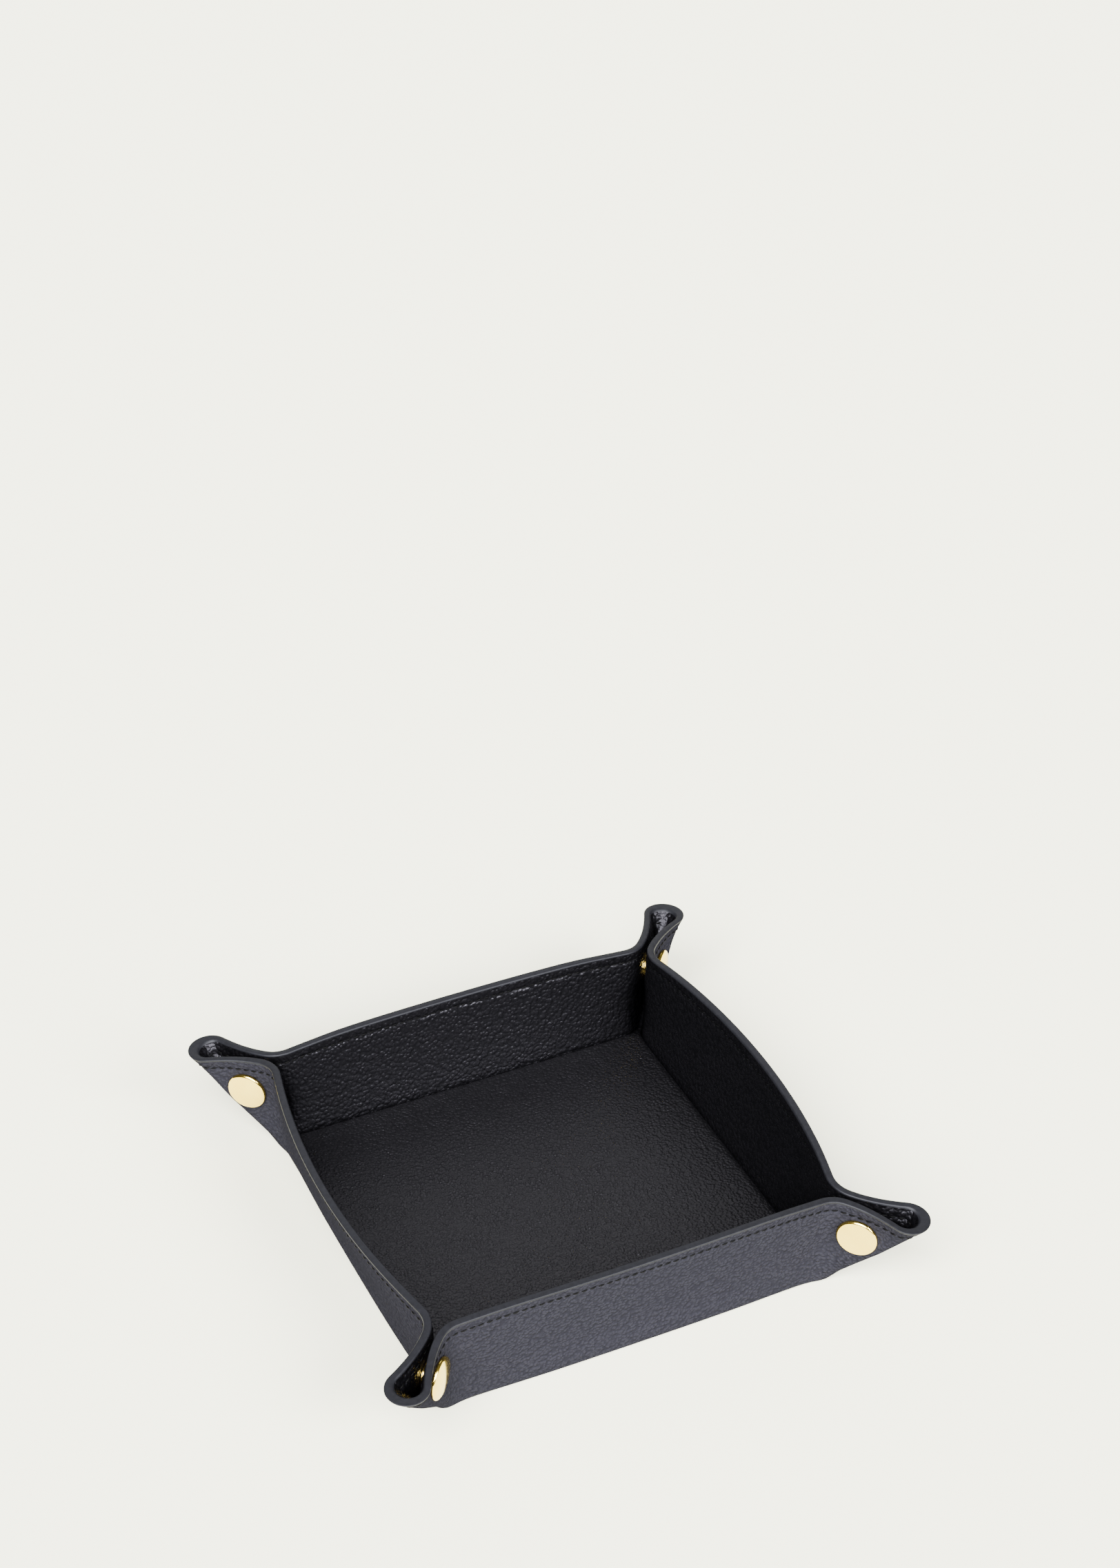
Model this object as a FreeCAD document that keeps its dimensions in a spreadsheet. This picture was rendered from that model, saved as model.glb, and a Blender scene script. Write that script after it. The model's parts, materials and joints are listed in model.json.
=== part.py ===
import FreeCAD, Part
import math
import os
import Sketcher

# A leather valet tray: two leather sheets over a base board, folded up into four walls.
# Each corner is pinched outwards into an ear, and a spring snap through the ear holds it.
# +Z is up, the base stands on Z = 0, the front wall faces -Y. Lengths are millimetres.
# U runs from the tray's middle along a diagonal, V from the diagonal plane to an ear's side.
doc = FreeCAD.newDocument("valet_tray")
sheet = doc.addObject("Spreadsheet::Sheet", "Sizes")

SIZES = (
    # The flat blank and the base
    ("base_side", 125.0),
    ("leather_thickness", 1.0),
    ("lining_thickness", 1.4),
    ("board_thickness", 1.2),
    ("board_margin", 4.0),
    ("lining_margin", 3.5),
    ("base_corner_radius", 4.0),
    ("base_edge_radius", 0.6),
    # The walls: rim height, outward lean at the middle of the rim, radius of the bowed rim
    ("rim_height", 34.6),
    ("rim_out_front", 4.6),
    ("rim_out_side", 10.0),
    ("rim_bow_front", 1120.0),
    ("rim_bow_side", 234.0),
    # The rim falls from the wall's end to the tip of the ear
    ("fall_start", 10.0),
    ("fall_run", 50.0),
    ("fall_drop", 6.8),
    ("cut_overrun", 6.0),
    # The ear, at the crease, at the snap and at the rim: distances past the base corner, insets before it
    ("pinch_gap", 1.6),
    ("pinch_inset_low", 2.9),
    ("pinch_start_top", 4.6),
    ("inside_inset_low", 0.6),
    ("inside_tip_mid", 18.0),
    ("inside_tip_top", 30.1),
    ("outside_tip_low", 2.0),
    ("outside_tip_mid", 21.15),
    ("outside_tip_top", 33.45),
    ("loop_inside_low", 0.9),
    ("loop_inside_mid", 1.5),
    ("loop_inside_top", 6.0),
    ("flare_low", 2.0),
    ("flare_mid", 10.0),
    ("flare_top", 24.0),
    # The snap: place on the ear, holes in the leather
    ("snap_past_corner", 8.2),
    ("snap_height", 21.5),
    ("recess_depth", 1.0),
    ("recess_radius", 5.4),
    ("hole_radius", 1.9),
    # The caps on both outside faces
    ("cap_radius", 6.25),
    ("cap_height", 2.1),
    ("cap_crown_drop", 0.45),
    ("cap_edge_radius", 0.75),
    ("cap_standoff", 0.55),
    ("cap_boss_radius", 3.4),
    ("post_radius", 1.7),
    # The socket and its split ring
    ("socket_radius", 5.0),
    ("socket_plate", 0.55),
    ("socket_wall_radius", 4.0),
    ("socket_cavity_radius", 3.0),
    ("socket_bore_radius", 2.45),
    ("lip_level", 0.05),
    ("lip_thickness", 0.5),
    ("clench_radius", 2.3),
    ("clench_height", 0.25),
    ("running_clearance", 0.05),
    ("ring_level", 0.25),
    ("ring_radius", 2.1),
    ("ring_wire_radius", 0.22),
    ("ring_gap_angle", 40.0),
    # The stud
    ("flange_radius", 4.8),
    ("flange_thickness", 0.55),
    ("boss_radius", 1.9),
    ("neck_radius", 1.68),
    ("neck_low", 0.05),
    ("neck_high", 0.5),
    ("head_radius", 2.06),
    ("head_level", 0.65),
    ("head_top", 0.92),
    ("head_top_radius", 1.6),
    ("pin_radius", 1.0),
    ("pin_top", 0.5),
    ("pin_bore_top", 0.6),
)

LAYERS = ("inside", "seam", "outside")
LEVELS = ("low", "mid", "top")
WALLS = ("front", "side")

DERIVED = [
    ("base_half", "base_side / 2"),
    ("corner_reach", "base_half * sqrt(2)"),
    ("sheet_thickness", "leather_thickness + lining_thickness"),
    ("depth_inside", "0"),
    ("depth_seam", "lining_thickness"),
    ("depth_outside", "sheet_thickness"),
    ("level_low", "leather_thickness"),
    ("level_mid", "snap_height"),
    ("level_top", "rim_height"),
    ("level_board", "leather_thickness + board_thickness"),
    ("board_half", "base_half - board_margin"),
    ("lining_half", "base_half - lining_margin"),
    ("board_corner_radius", "base_corner_radius"),
    ("pinch_half", "pinch_gap / 2"),
    ("inside_tip_low", "0 - inside_inset_low"),
    ("pinch_u_low", "corner_reach - pinch_inset_low"),
    ("pinch_u_top", "corner_reach + pinch_start_top"),
    ("rise_share", "(level_mid - level_low) / (level_top - level_low)"),
    ("pinch_u_mid", "pinch_u_low + (pinch_u_top - pinch_u_low) * rise_share"),
    ("fall_u_start", "corner_reach - fall_start"),
    ("fall_u_end", "corner_reach + outside_tip_top + cut_overrun"),
    ("fall_share", "fall_drop / fall_run"),
    ("fall_level_end", "rim_height - (fall_u_end - fall_u_start) * fall_share"),
    ("cut_top", "rim_height + cut_overrun"),
    ("cut_width", "base_side * 2"),
    ("snap_u", "corner_reach + snap_past_corner"),
    ("snap_x", "snap_u / sqrt(2)"),
    ("seat_out", "pinch_half + sheet_thickness"),
    ("seat_in", "pinch_half + recess_depth"),
]
# Every layer of the pinch, the flare and the loop, at each level
for layer in LAYERS:
    DERIVED.append((f"pinch_v_{layer}", f"pinch_half + depth_{layer}"))
for level in LEVELS:
    for layer in LAYERS:
        key = f"{level}_{layer}"
        DERIVED += [
            (f"loop_r_{key}", f"loop_inside_{level} + depth_{layer}"),
            (f"flare_r_{key}", f"flare_{level} + sheet_thickness - depth_{layer}"),
            (f"tip_share_{key}", f"depth_{layer} / sheet_thickness"),
            (f"tip_u_{key}", f"corner_reach + inside_tip_{level} * (1 - tip_share_{key})"
                             f" + outside_tip_{level} * tip_share_{key}"),
            (f"loop_u_{key}", f"tip_u_{key} - loop_r_{key}"),
            (f"flare_v_{key}", f"pinch_v_{layer} + flare_r_{key}"),
            (f"bend_sum_{key}", f"flare_r_{key} + loop_r_{key}"),
            (f"flare_u_{key}", f"loop_u_{key} - sqrt(bend_sum_{key} ^ 2 - flare_v_{key} ^ 2)"),
            (f"meet_share_{key}", f"flare_r_{key} / bend_sum_{key}"),
            (f"meet_u_{key}", f"flare_u_{key} + (loop_u_{key} - flare_u_{key}) * meet_share_{key}"),
            (f"meet_v_{key}", f"flare_v_{key} * (1 - meet_share_{key})"),
        ]
# The shoulder between wall and pinch at the crease, where the wall is straight
DERIVED += [
    ("turn_share", "1 - 1 / sqrt(2)"),
    ("shoulder_low", "((pinch_u_low + pinch_v_outside) / sqrt(2) - base_half) / turn_share"),
    ("turn_v_low", "pinch_v_outside + shoulder_low"),
    ("turn_x_low", "(pinch_u_low - turn_v_low) / sqrt(2)"),
]
for layer in LAYERS:
    DERIVED += [
        (f"wall_y_low_{layer}", f"base_half - sheet_thickness + depth_{layer}"),
        (f"shoulder_r_low_{layer}", f"shoulder_low + sheet_thickness - depth_{layer}"),
        (f"turn_u_low_{layer}", f"(turn_x_low + wall_y_low_{layer}) / sqrt(2)"),
        (f"turn_v_low_{layer}", f"(wall_y_low_{layer} - turn_x_low) / sqrt(2)"),
        (f"middle_low_{layer}", f"wall_y_low_{layer} / sqrt(2)"),
    ]
# The shoulder at the rim, tangent to the bowed rim and to the pinch
for wall in WALLS:
    DERIVED += [
        (f"bow_y_{wall}", f"base_half + rim_out_{wall} - rim_bow_{wall}"),
        (f"shoulder_over_{wall}", f"rim_bow_{wall} ^ 2 - bow_y_{wall} ^ 2 - pinch_u_top ^ 2"
                                  f" - pinch_v_outside ^ 2"
                                  f" + sqrt(2) * bow_y_{wall} * (pinch_u_top + pinch_v_outside)"),
        (f"shoulder_under_{wall}", f"2 * pinch_v_outside - sqrt(2) * bow_y_{wall} - 2 * rim_bow_{wall}"),
        (f"shoulder_{wall}", f"shoulder_over_{wall} / shoulder_under_{wall}"),
        (f"shoulder_x_{wall}", f"(pinch_u_top - pinch_v_outside - shoulder_{wall}) / sqrt(2)"),
        (f"shoulder_y_{wall}", f"(pinch_u_top + pinch_v_outside + shoulder_{wall}) / sqrt(2)"),
    ]
    for layer in LAYERS:
        key = f"{wall}_{layer}"
        DERIVED += [
            (f"bow_r_{key}", f"rim_bow_{wall} - sheet_thickness + depth_{layer}"),
            (f"shoulder_r_{key}", f"shoulder_{wall} + sheet_thickness - depth_{layer}"),
            (f"turn_share_{key}", f"bow_r_{key} / (rim_bow_{wall} + shoulder_{wall})"),
            (f"turn_x_{key}", f"shoulder_x_{wall} * turn_share_{key}"),
            (f"turn_y_{key}", f"bow_y_{wall} + (shoulder_y_{wall} - bow_y_{wall}) * turn_share_{key}"),
            (f"turn_u_{key}", f"(turn_x_{key} + turn_y_{key}) / sqrt(2)"),
            (f"turn_v_{key}", f"(turn_y_{key} - turn_x_{key}) / sqrt(2)"),
            (f"middle_{key}", f"(bow_y_{wall} + bow_r_{key}) / sqrt(2)"),
        ]
# Levels along the snap's axis, measured from the diagonal plane towards the piece's own side
DERIVED += [
    ("cap_top", "seat_out + cap_height"),
    ("cap_crown_level", "cap_top - cap_crown_drop"),
    ("cap_crown_radius", "cap_radius - cap_edge_radius"),
    ("cap_rim_level", "cap_crown_level - cap_edge_radius"),
    ("cap_under", "seat_out + cap_standoff"),
    ("cap_crown_sphere", "(cap_crown_radius ^ 2 + cap_crown_drop ^ 2) / (2 * cap_crown_drop)"),
    ("clench_level", "seat_in - socket_plate"),
    ("clench_top", "clench_level - clench_height"),
    ("socket_hole_radius", "post_radius + running_clearance"),
    ("lip_end", "lip_level + lip_thickness"),
    ("flange_level", "seat_in - flange_thickness"),
    ("pin_bore_radius", "pin_radius + running_clearance"),
    ("post_end", "seat_in + running_clearance"),
    ("ring_sweep", "360 - ring_gap_angle"),
]

row = 0
for alias, number in SIZES:
    row += 1
    sheet.set(f"A{row}", alias)
    sheet.set(f"B{row}", str(number))
    sheet.setAlias(f"B{row}", alias)
for alias, formula in DERIVED:
    row += 1
    sheet.set(f"A{row}", alias)
    sheet.set(f"B{row}", "=" + formula)
    sheet.setAlias(f"B{row}", alias)
doc.recompute()

nodes = {}


def bind(thing, prop, alias):
    """Ties one property to a named size; a leading minus turns its sign."""
    thing.setExpression(prop, alias.replace("-", "-Sizes.") if alias.startswith("-") else "Sizes." + alias)


def size(alias):
    """The present value of a named size."""
    if alias == "0":
        return 0.0
    return -sheet.get(alias[1:]) if alias.startswith("-") else sheet.get(alias)


def new_body(name, turn=0.0):
    """A body whose own X axis lies at an angle about the tray's middle."""
    body = doc.addObject("PartDesign::Body", name)
    body.Label = name
    body.Placement.Rotation = FreeCAD.Rotation(FreeCAD.Vector(0, 0, 1), turn)
    return body


def outline(body, name, plane, points, height=None):
    """A closed sketch through (x, y, radius, turn) points; a radius bends the edge after its point."""
    sketch = doc.addObject("Sketcher::SketchObject", name)
    body.addObject(sketch)
    axes = {"XY": 3, "XZ": 4}
    sketch.AttachmentSupport = [(body.Origin.OriginFeatures[axes[plane]], "")]
    sketch.MapMode = "FlatFace"
    if height:
        bind(sketch, "AttachmentOffset.Base.z", height)
    places = [FreeCAD.Vector(size(p[0]), size(p[1]), 0) for p in points]
    heads = []
    tails = []
    for index, point in enumerate(points):
        start = places[index]
        end = places[(index + 1) % len(points)]
        if len(point) == 2:
            edge = sketch.addGeometry(Part.LineSegment(start, end), False)
            heads.append((edge, 1))
            tails.append((edge, 2))
            continue
        radius = size(point[2])
        chord = end - start
        half = chord.Length / 2
        reach = math.sqrt(max(radius ** 2 - half ** 2, 0.0))
        left = FreeCAD.Vector(-chord.y, chord.x, 0).normalize()
        middle = start + chord * 0.5 + left * (reach if point[3] == "left" else -reach)
        begin = start if point[3] == "left" else end
        finish = end if point[3] == "left" else start
        first = math.atan2(begin.y - middle.y, begin.x - middle.x)
        last = math.atan2(finish.y - middle.y, finish.x - middle.x)
        if last < first:
            last += 2 * math.pi
        circle = Part.Circle(middle, FreeCAD.Vector(0, 0, 1), radius)
        edge = sketch.addGeometry(Part.ArcOfCircle(circle, first, last), False)
        heads.append((edge, 1 if point[3] == "left" else 2))
        tails.append((edge, 2 if point[3] == "left" else 1))
        tie = sketch.addConstraint(Sketcher.Constraint("Radius", edge, radius))
        bind(sketch, f"Constraints[{tie}]", point[2])
    for index, point in enumerate(points):
        sketch.addConstraint(Sketcher.Constraint("Coincident", *tails[index - 1], *heads[index]))
        for kind, alias, axis in (("DistanceX", point[0], -2), ("DistanceY", point[1], -1)):
            if alias == "0":
                sketch.addConstraint(Sketcher.Constraint("PointOnObject", *heads[index], axis))
            else:
                tie = sketch.addConstraint(Sketcher.Constraint(kind, -1, 1, *heads[index], size(alias)))
                bind(sketch, f"Constraints[{tie}]", alias)
    return sketch


def disc(body, name, across, up, radius):
    """A circle on the diagonal plane."""
    sketch = doc.addObject("Sketcher::SketchObject", name)
    body.addObject(sketch)
    sketch.AttachmentSupport = [(body.Origin.OriginFeatures[4], "")]
    sketch.MapMode = "FlatFace"
    centre = FreeCAD.Vector(size(across), size(up), 0)
    edge = sketch.addGeometry(Part.Circle(centre, FreeCAD.Vector(0, 0, 1), size(radius)), False)
    ties = (
        (Sketcher.Constraint("Radius", edge, size(radius)), radius),
        (Sketcher.Constraint("DistanceX", -1, 1, edge, 3, size(across)), across),
        (Sketcher.Constraint("DistanceY", -1, 1, edge, 3, size(up)), up),
    )
    for rule, alias in ties:
        tie = sketch.addConstraint(rule)
        bind(sketch, f"Constraints[{tie}]", alias)
    return sketch


def loft(body, name, sketches):
    """A straight-ruled loft through sketches, from the lowest up."""
    feature = doc.addObject("PartDesign::AdditiveLoft", name)
    body.addObject(feature)
    feature.Profile = sketches[0]
    feature.Sections = sketches[1:]
    feature.Ruled = True
    return feature


def pocket(body, name, sketch, length, both=False):
    """A cut from the diagonal plane towards the body's +Y side, or to both sides."""
    feature = doc.addObject("PartDesign::Pocket", name)
    body.addObject(feature)
    feature.Profile = sketch
    feature.Type = "Length"
    bind(feature, "Length", length)
    if both:
        feature.SideType = "Symmetric"
    return feature


def trim_rim(body, name):
    """Cuts the rim's fall from the wall's end to the ear's tip."""
    profile = outline(body, name + "_fall", "XZ", (
        ("fall_u_start", "level_top"), ("fall_u_end", "fall_level_end"),
        ("fall_u_end", "cut_top"), ("fall_u_start", "cut_top")))
    pocket(body, name + "_trim", profile, "cut_width", both=True)


def mirrored(source, name, axis):
    """The mirror image of a sub-part across the tray's middle."""
    copy = doc.addObject("Part::Mirroring", name)
    copy.Label = name
    copy.Source = source
    copy.Base = FreeCAD.Vector(0, 0, 0)
    copy.Normal = FreeCAD.Vector(1, 0, 0) if axis == "x" else FreeCAD.Vector(0, 1, 0)
    return copy


def four_corners(source, stem, corner):
    """Keeps a corner's sub-part and adds its mirror images at the other three corners."""
    side = {"r": "l", "l": "r"}
    end = {"f": "b", "b": "f"}
    here, across = corner
    beside = here + side[across]
    behind = end[here] + across
    opposite = end[here] + side[across]
    nodes[stem.format(corner)] = source
    nodes[stem.format(beside)] = mirrored(source, stem.format(beside), "x")
    nodes[stem.format(behind)] = mirrored(source, stem.format(behind), "y")
    nodes[stem.format(opposite)] = mirrored(nodes[stem.format(behind)], stem.format(opposite), "x")


# Base: outer leather with a rounded bottom edge, stiffening board, lining
def base_plate(name, half, low, thickness, corner, edge_round=None):
    body = new_body(name)
    square = outline(body, name + "_square", "XY", (
        ("-" + half, "-" + half), (half, "-" + half), (half, half), ("-" + half, half)), height=low)
    pad = doc.addObject("PartDesign::Pad", name + "_pad")
    body.addObject(pad)
    pad.Profile = square
    bind(pad, "Length", thickness)
    doc.recompute()
    upright = [f"Edge{n + 1}" for n, edge in enumerate(pad.Shape.Edges)
               if edge.Vertexes[0].X == edge.Vertexes[1].X and edge.Vertexes[0].Y == edge.Vertexes[1].Y]
    corners = doc.addObject("PartDesign::Fillet", name + "_corners")
    body.addObject(corners)
    corners.Base = (pad, upright)
    bind(corners, "Radius", corner)
    if edge_round:
        doc.recompute()
        floor = [f"Edge{n + 1}" for n, edge in enumerate(corners.Shape.Edges)
                 if edge.BoundBox.ZMax < size(thickness) / 2]
        crease = doc.addObject("PartDesign::Fillet", name + "_crease")
        body.addObject(crease)
        crease.Base = (corners, floor)
        bind(crease, "Radius", edge_round)
    nodes[name] = body


base_plate("base_leather", "base_half", None, "leather_thickness", "base_corner_radius", "base_edge_radius")
base_plate("base_board", "board_half", "level_low", "board_thickness", "board_corner_radius")
base_plate("base_lining", "lining_half", "level_board", "lining_thickness", "board_corner_radius")

# Walls: half of each wall with its shoulder, ruled from crease to rim, then mirrored to the whole wall
SHEETS = (("leather", "seam", "outside"), ("lining", "inside", "seam"))
WALL_PAIRS = (("side", -45.0, "y", "right", "left"), ("front", -135.0, "x", "front", "back"))
for wall, turn, axis, one, other in WALL_PAIRS:
    for layer, inner, outer in SHEETS:
        name = f"wall_{layer}_{one}"
        body = new_body(name + "_half", turn)
        low = outline(body, name + "_low", "XY", (
            (f"middle_low_{outer}", f"middle_low_{outer}"),
            (f"turn_u_low_{outer}", f"turn_v_low_{outer}", f"shoulder_r_low_{outer}", "left"),
            ("pinch_u_low", f"pinch_v_{outer}"),
            ("pinch_u_low", f"pinch_v_{inner}", f"shoulder_r_low_{inner}", "right"),
            (f"turn_u_low_{inner}", f"turn_v_low_{inner}"),
            (f"middle_low_{inner}", f"middle_low_{inner}")), height="level_low")
        top = outline(body, name + "_top", "XY", (
            (f"middle_{wall}_{outer}", f"middle_{wall}_{outer}", f"bow_r_{wall}_{outer}", "right"),
            (f"turn_u_{wall}_{outer}", f"turn_v_{wall}_{outer}", f"shoulder_r_{wall}_{outer}", "left"),
            ("pinch_u_top", f"pinch_v_{outer}"),
            ("pinch_u_top", f"pinch_v_{inner}", f"shoulder_r_{wall}_{inner}", "right"),
            (f"turn_u_{wall}_{inner}", f"turn_v_{wall}_{inner}", f"bow_r_{wall}_{inner}", "left"),
            (f"middle_{wall}_{inner}", f"middle_{wall}_{inner}")), height="level_top")
        loft(body, name + "_loft", (low, top))
        trim_rim(body, name)
        whole = doc.addObject("Part::Fuse", name)
        whole.Label = name
        whole.Base = body
        whole.Tool = mirrored(body, name + "_other_half", axis)
        nodes[name] = whole
        nodes[f"wall_{layer}_{other}"] = mirrored(whole, f"wall_{layer}_{other}", "x" if axis == "y" else "y")

# Ears: a flat side that carries half the snap, and half of the rounded tip, on each wall's end
for side, turn, corner in (("b", -45.0, "fr"), ("a", -135.0, "fl")):
    tips = []
    for layer, inner, outer in SHEETS:
        name = f"ear_{layer}_{corner}_{side}"
        body = new_body(name, turn)
        sections = [outline(body, f"{name}_{level}", "XY", (
            (f"pinch_u_{level}", f"pinch_v_{inner}"), (f"flare_u_{level}_{inner}", f"pinch_v_{inner}"),
            (f"flare_u_{level}_{outer}", f"pinch_v_{outer}"), (f"pinch_u_{level}", f"pinch_v_{outer}")),
            height=f"level_{level}") for level in LEVELS]
        loft(body, name + "_loft", sections)
        trim_rim(body, name)
        hole = disc(body, name + "_hole_disc", "snap_u", "level_mid", "hole_radius")
        pocket(body, name + "_hole", hole, "cut_width", both=True)
        if layer == "lining":
            recess = disc(body, name + "_recess_disc", "snap_u", "level_mid", "recess_radius")
            pocket(body, name + "_recess", recess, "seat_in")
        four_corners(body, f"ear_{layer}_{{}}_{side}", corner)
        tip = new_body(f"tip_{layer}_{corner}_{side}", turn)
        sections = [outline(tip, f"{tip.Name}_{level}", "XY", (
            (f"flare_u_{level}_{outer}", f"pinch_v_{outer}"),
            (f"flare_u_{level}_{inner}", f"pinch_v_{inner}", f"flare_r_{level}_{inner}", "left"),
            (f"meet_u_{level}_{inner}", f"meet_v_{level}_{inner}", f"loop_r_{level}_{inner}", "right"),
            (f"tip_u_{level}_{inner}", "0"),
            (f"tip_u_{level}_{outer}", "0", f"loop_r_{level}_{outer}", "left"),
            (f"meet_u_{level}_{outer}", f"meet_v_{level}_{outer}", f"flare_r_{level}_{outer}", "right")),
            height=f"level_{level}") for level in LEVELS]
        loft(tip, tip.Name + "_loft", sections)
        trim_rim(tip, tip.Name)
        if layer == "lining":
            recess = disc(tip, tip.Name + "_recess_disc", "snap_u", "level_mid", "recess_radius")
            pocket(tip, tip.Name + "_recess", recess, "seat_in")
        tips.append(tip)
    name = f"ear_tip_{corner}_{side}"
    pair = doc.addObject("Part::Compound", name)
    pair.Label = name
    pair.Links = tips
    four_corners(pair, f"ear_tip_{{}}_{side}", corner)


# Snaps: turned pieces on the ear's own axis, measured from the diagonal plane
def turned(name, corner, points, sweep=None):
    body = doc.addObject("PartDesign::Body", name)
    body.Label = name
    signs = {"fr": (1, -1), "fl": (-1, -1)}[corner]
    outward = {"fr": FreeCAD.Vector(1, 1, 0), "fl": FreeCAD.Vector(1, -1, 0)}[corner]
    body.Placement.Rotation = FreeCAD.Rotation(FreeCAD.Vector(0, 0, 1), outward)
    bind(body, "Placement.Base.x", "snap_x" if signs[0] > 0 else "-snap_x")
    bind(body, "Placement.Base.y", "-snap_x")
    bind(body, "Placement.Base.z", "snap_height")
    profile = outline(body, name + "_profile", "XZ", points)
    feature = doc.addObject("PartDesign::Revolution", name + "_turn")
    body.addObject(feature)
    feature.Profile = profile
    feature.ReferenceAxis = (profile, ["V_Axis"])
    if sweep:
        bind(feature, "Angle", sweep)
    else:
        feature.Angle = 360.0
    return body


CAP_HEAD = (
    ("cap_boss_radius", "seat_out"), ("cap_boss_radius", "cap_under"), ("cap_radius", "cap_under"),
    ("cap_radius", "cap_rim_level", "cap_edge_radius", "left"),
    ("cap_crown_radius", "cap_crown_level", "cap_crown_sphere", "left"), ("0", "cap_top"),
)

# The cap on the socket's side, its post clenched inside the socket's plate
four_corners(turned("snap_cap_fl", "fl", (
    ("0", "clench_top"), ("clench_radius", "clench_top"), ("clench_radius", "clench_level"),
    ("post_radius", "clench_level"), ("post_radius", "seat_out")) + CAP_HEAD), "snap_cap_{}", "fl")

# The socket: a plate in the lining's recess, a wall with a cavity for the ring, and a lip
four_corners(turned("snap_socket_fl", "fl", (
    ("socket_hole_radius", "seat_in"), ("socket_hole_radius", "clench_level"),
    ("socket_cavity_radius", "clench_level"), ("socket_cavity_radius", "-lip_level"),
    ("socket_bore_radius", "-lip_level"), ("socket_bore_radius", "-lip_end"),
    ("socket_wall_radius", "-lip_end"), ("socket_wall_radius", "clench_level"),
    ("socket_radius", "clench_level"), ("socket_radius", "seat_in"))), "snap_socket_{}", "fl")

# The split ring spring that grips the stud's neck
ring = doc.addObject("PartDesign::Body", "snap_ring_fl")
ring.Label = "snap_ring_fl"
ring.Placement.Rotation = FreeCAD.Rotation(FreeCAD.Vector(0, 0, 1), FreeCAD.Vector(1, -1, 0))
bind(ring, "Placement.Base.x", "-snap_x")
bind(ring, "Placement.Base.y", "-snap_x")
bind(ring, "Placement.Base.z", "snap_height")
wire = disc(ring, "snap_ring_wire", "ring_radius", "ring_level", "ring_wire_radius")
coil = doc.addObject("PartDesign::Revolution", "snap_ring_coil")
ring.addObject(coil)
coil.Profile = wire
coil.ReferenceAxis = (wire, ["V_Axis"])
bind(coil, "Angle", "ring_sweep")
four_corners(ring, "snap_ring_{}", "fl")

# The stud on the other side: a flange, a boss, a neck for the ring and a rounded head
four_corners(turned("snap_stud_fr", "fr", (
    ("pin_bore_radius", "seat_in"), ("pin_bore_radius", "-pin_bore_top"), ("0", "-pin_bore_top"),
    ("0", "-head_top"), ("head_top_radius", "-head_top"), ("head_radius", "-head_level"),
    ("neck_radius", "-neck_high"), ("neck_radius", "-neck_low"), ("boss_radius", "neck_low"),
    ("boss_radius", "flange_level"), ("flange_radius", "flange_level"), ("flange_radius", "seat_in"))),
    "snap_stud_{}", "fr")

# The matching cap on the stud's side, its pin clenched inside the stud
four_corners(turned("snap_post_fr", "fr", (
    ("0", "-pin_top"), ("pin_radius", "-pin_top"), ("pin_radius", "post_end"),
    ("post_radius", "post_end"), ("post_radius", "seat_out")) + CAP_HEAD), "snap_post_{}", "fr")

doc.recompute()
for thing in doc.Objects:
    if "Invalid" in thing.State or "Error" in thing.State:
        raise RuntimeError(f"{thing.Label} did not build")
    if hasattr(thing, "Shape") and not thing.isDerivedFrom("App::Origin"):
        if thing.Label in nodes and (thing.Shape.isNull() or not thing.Shape.isValid()):
            raise RuntimeError(f"{thing.Label} has no valid shape")

os.makedirs("parts", exist_ok=True)
for label, thing in nodes.items():
    thing.Shape.exportStep(os.path.join("parts", label + ".step"))
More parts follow.
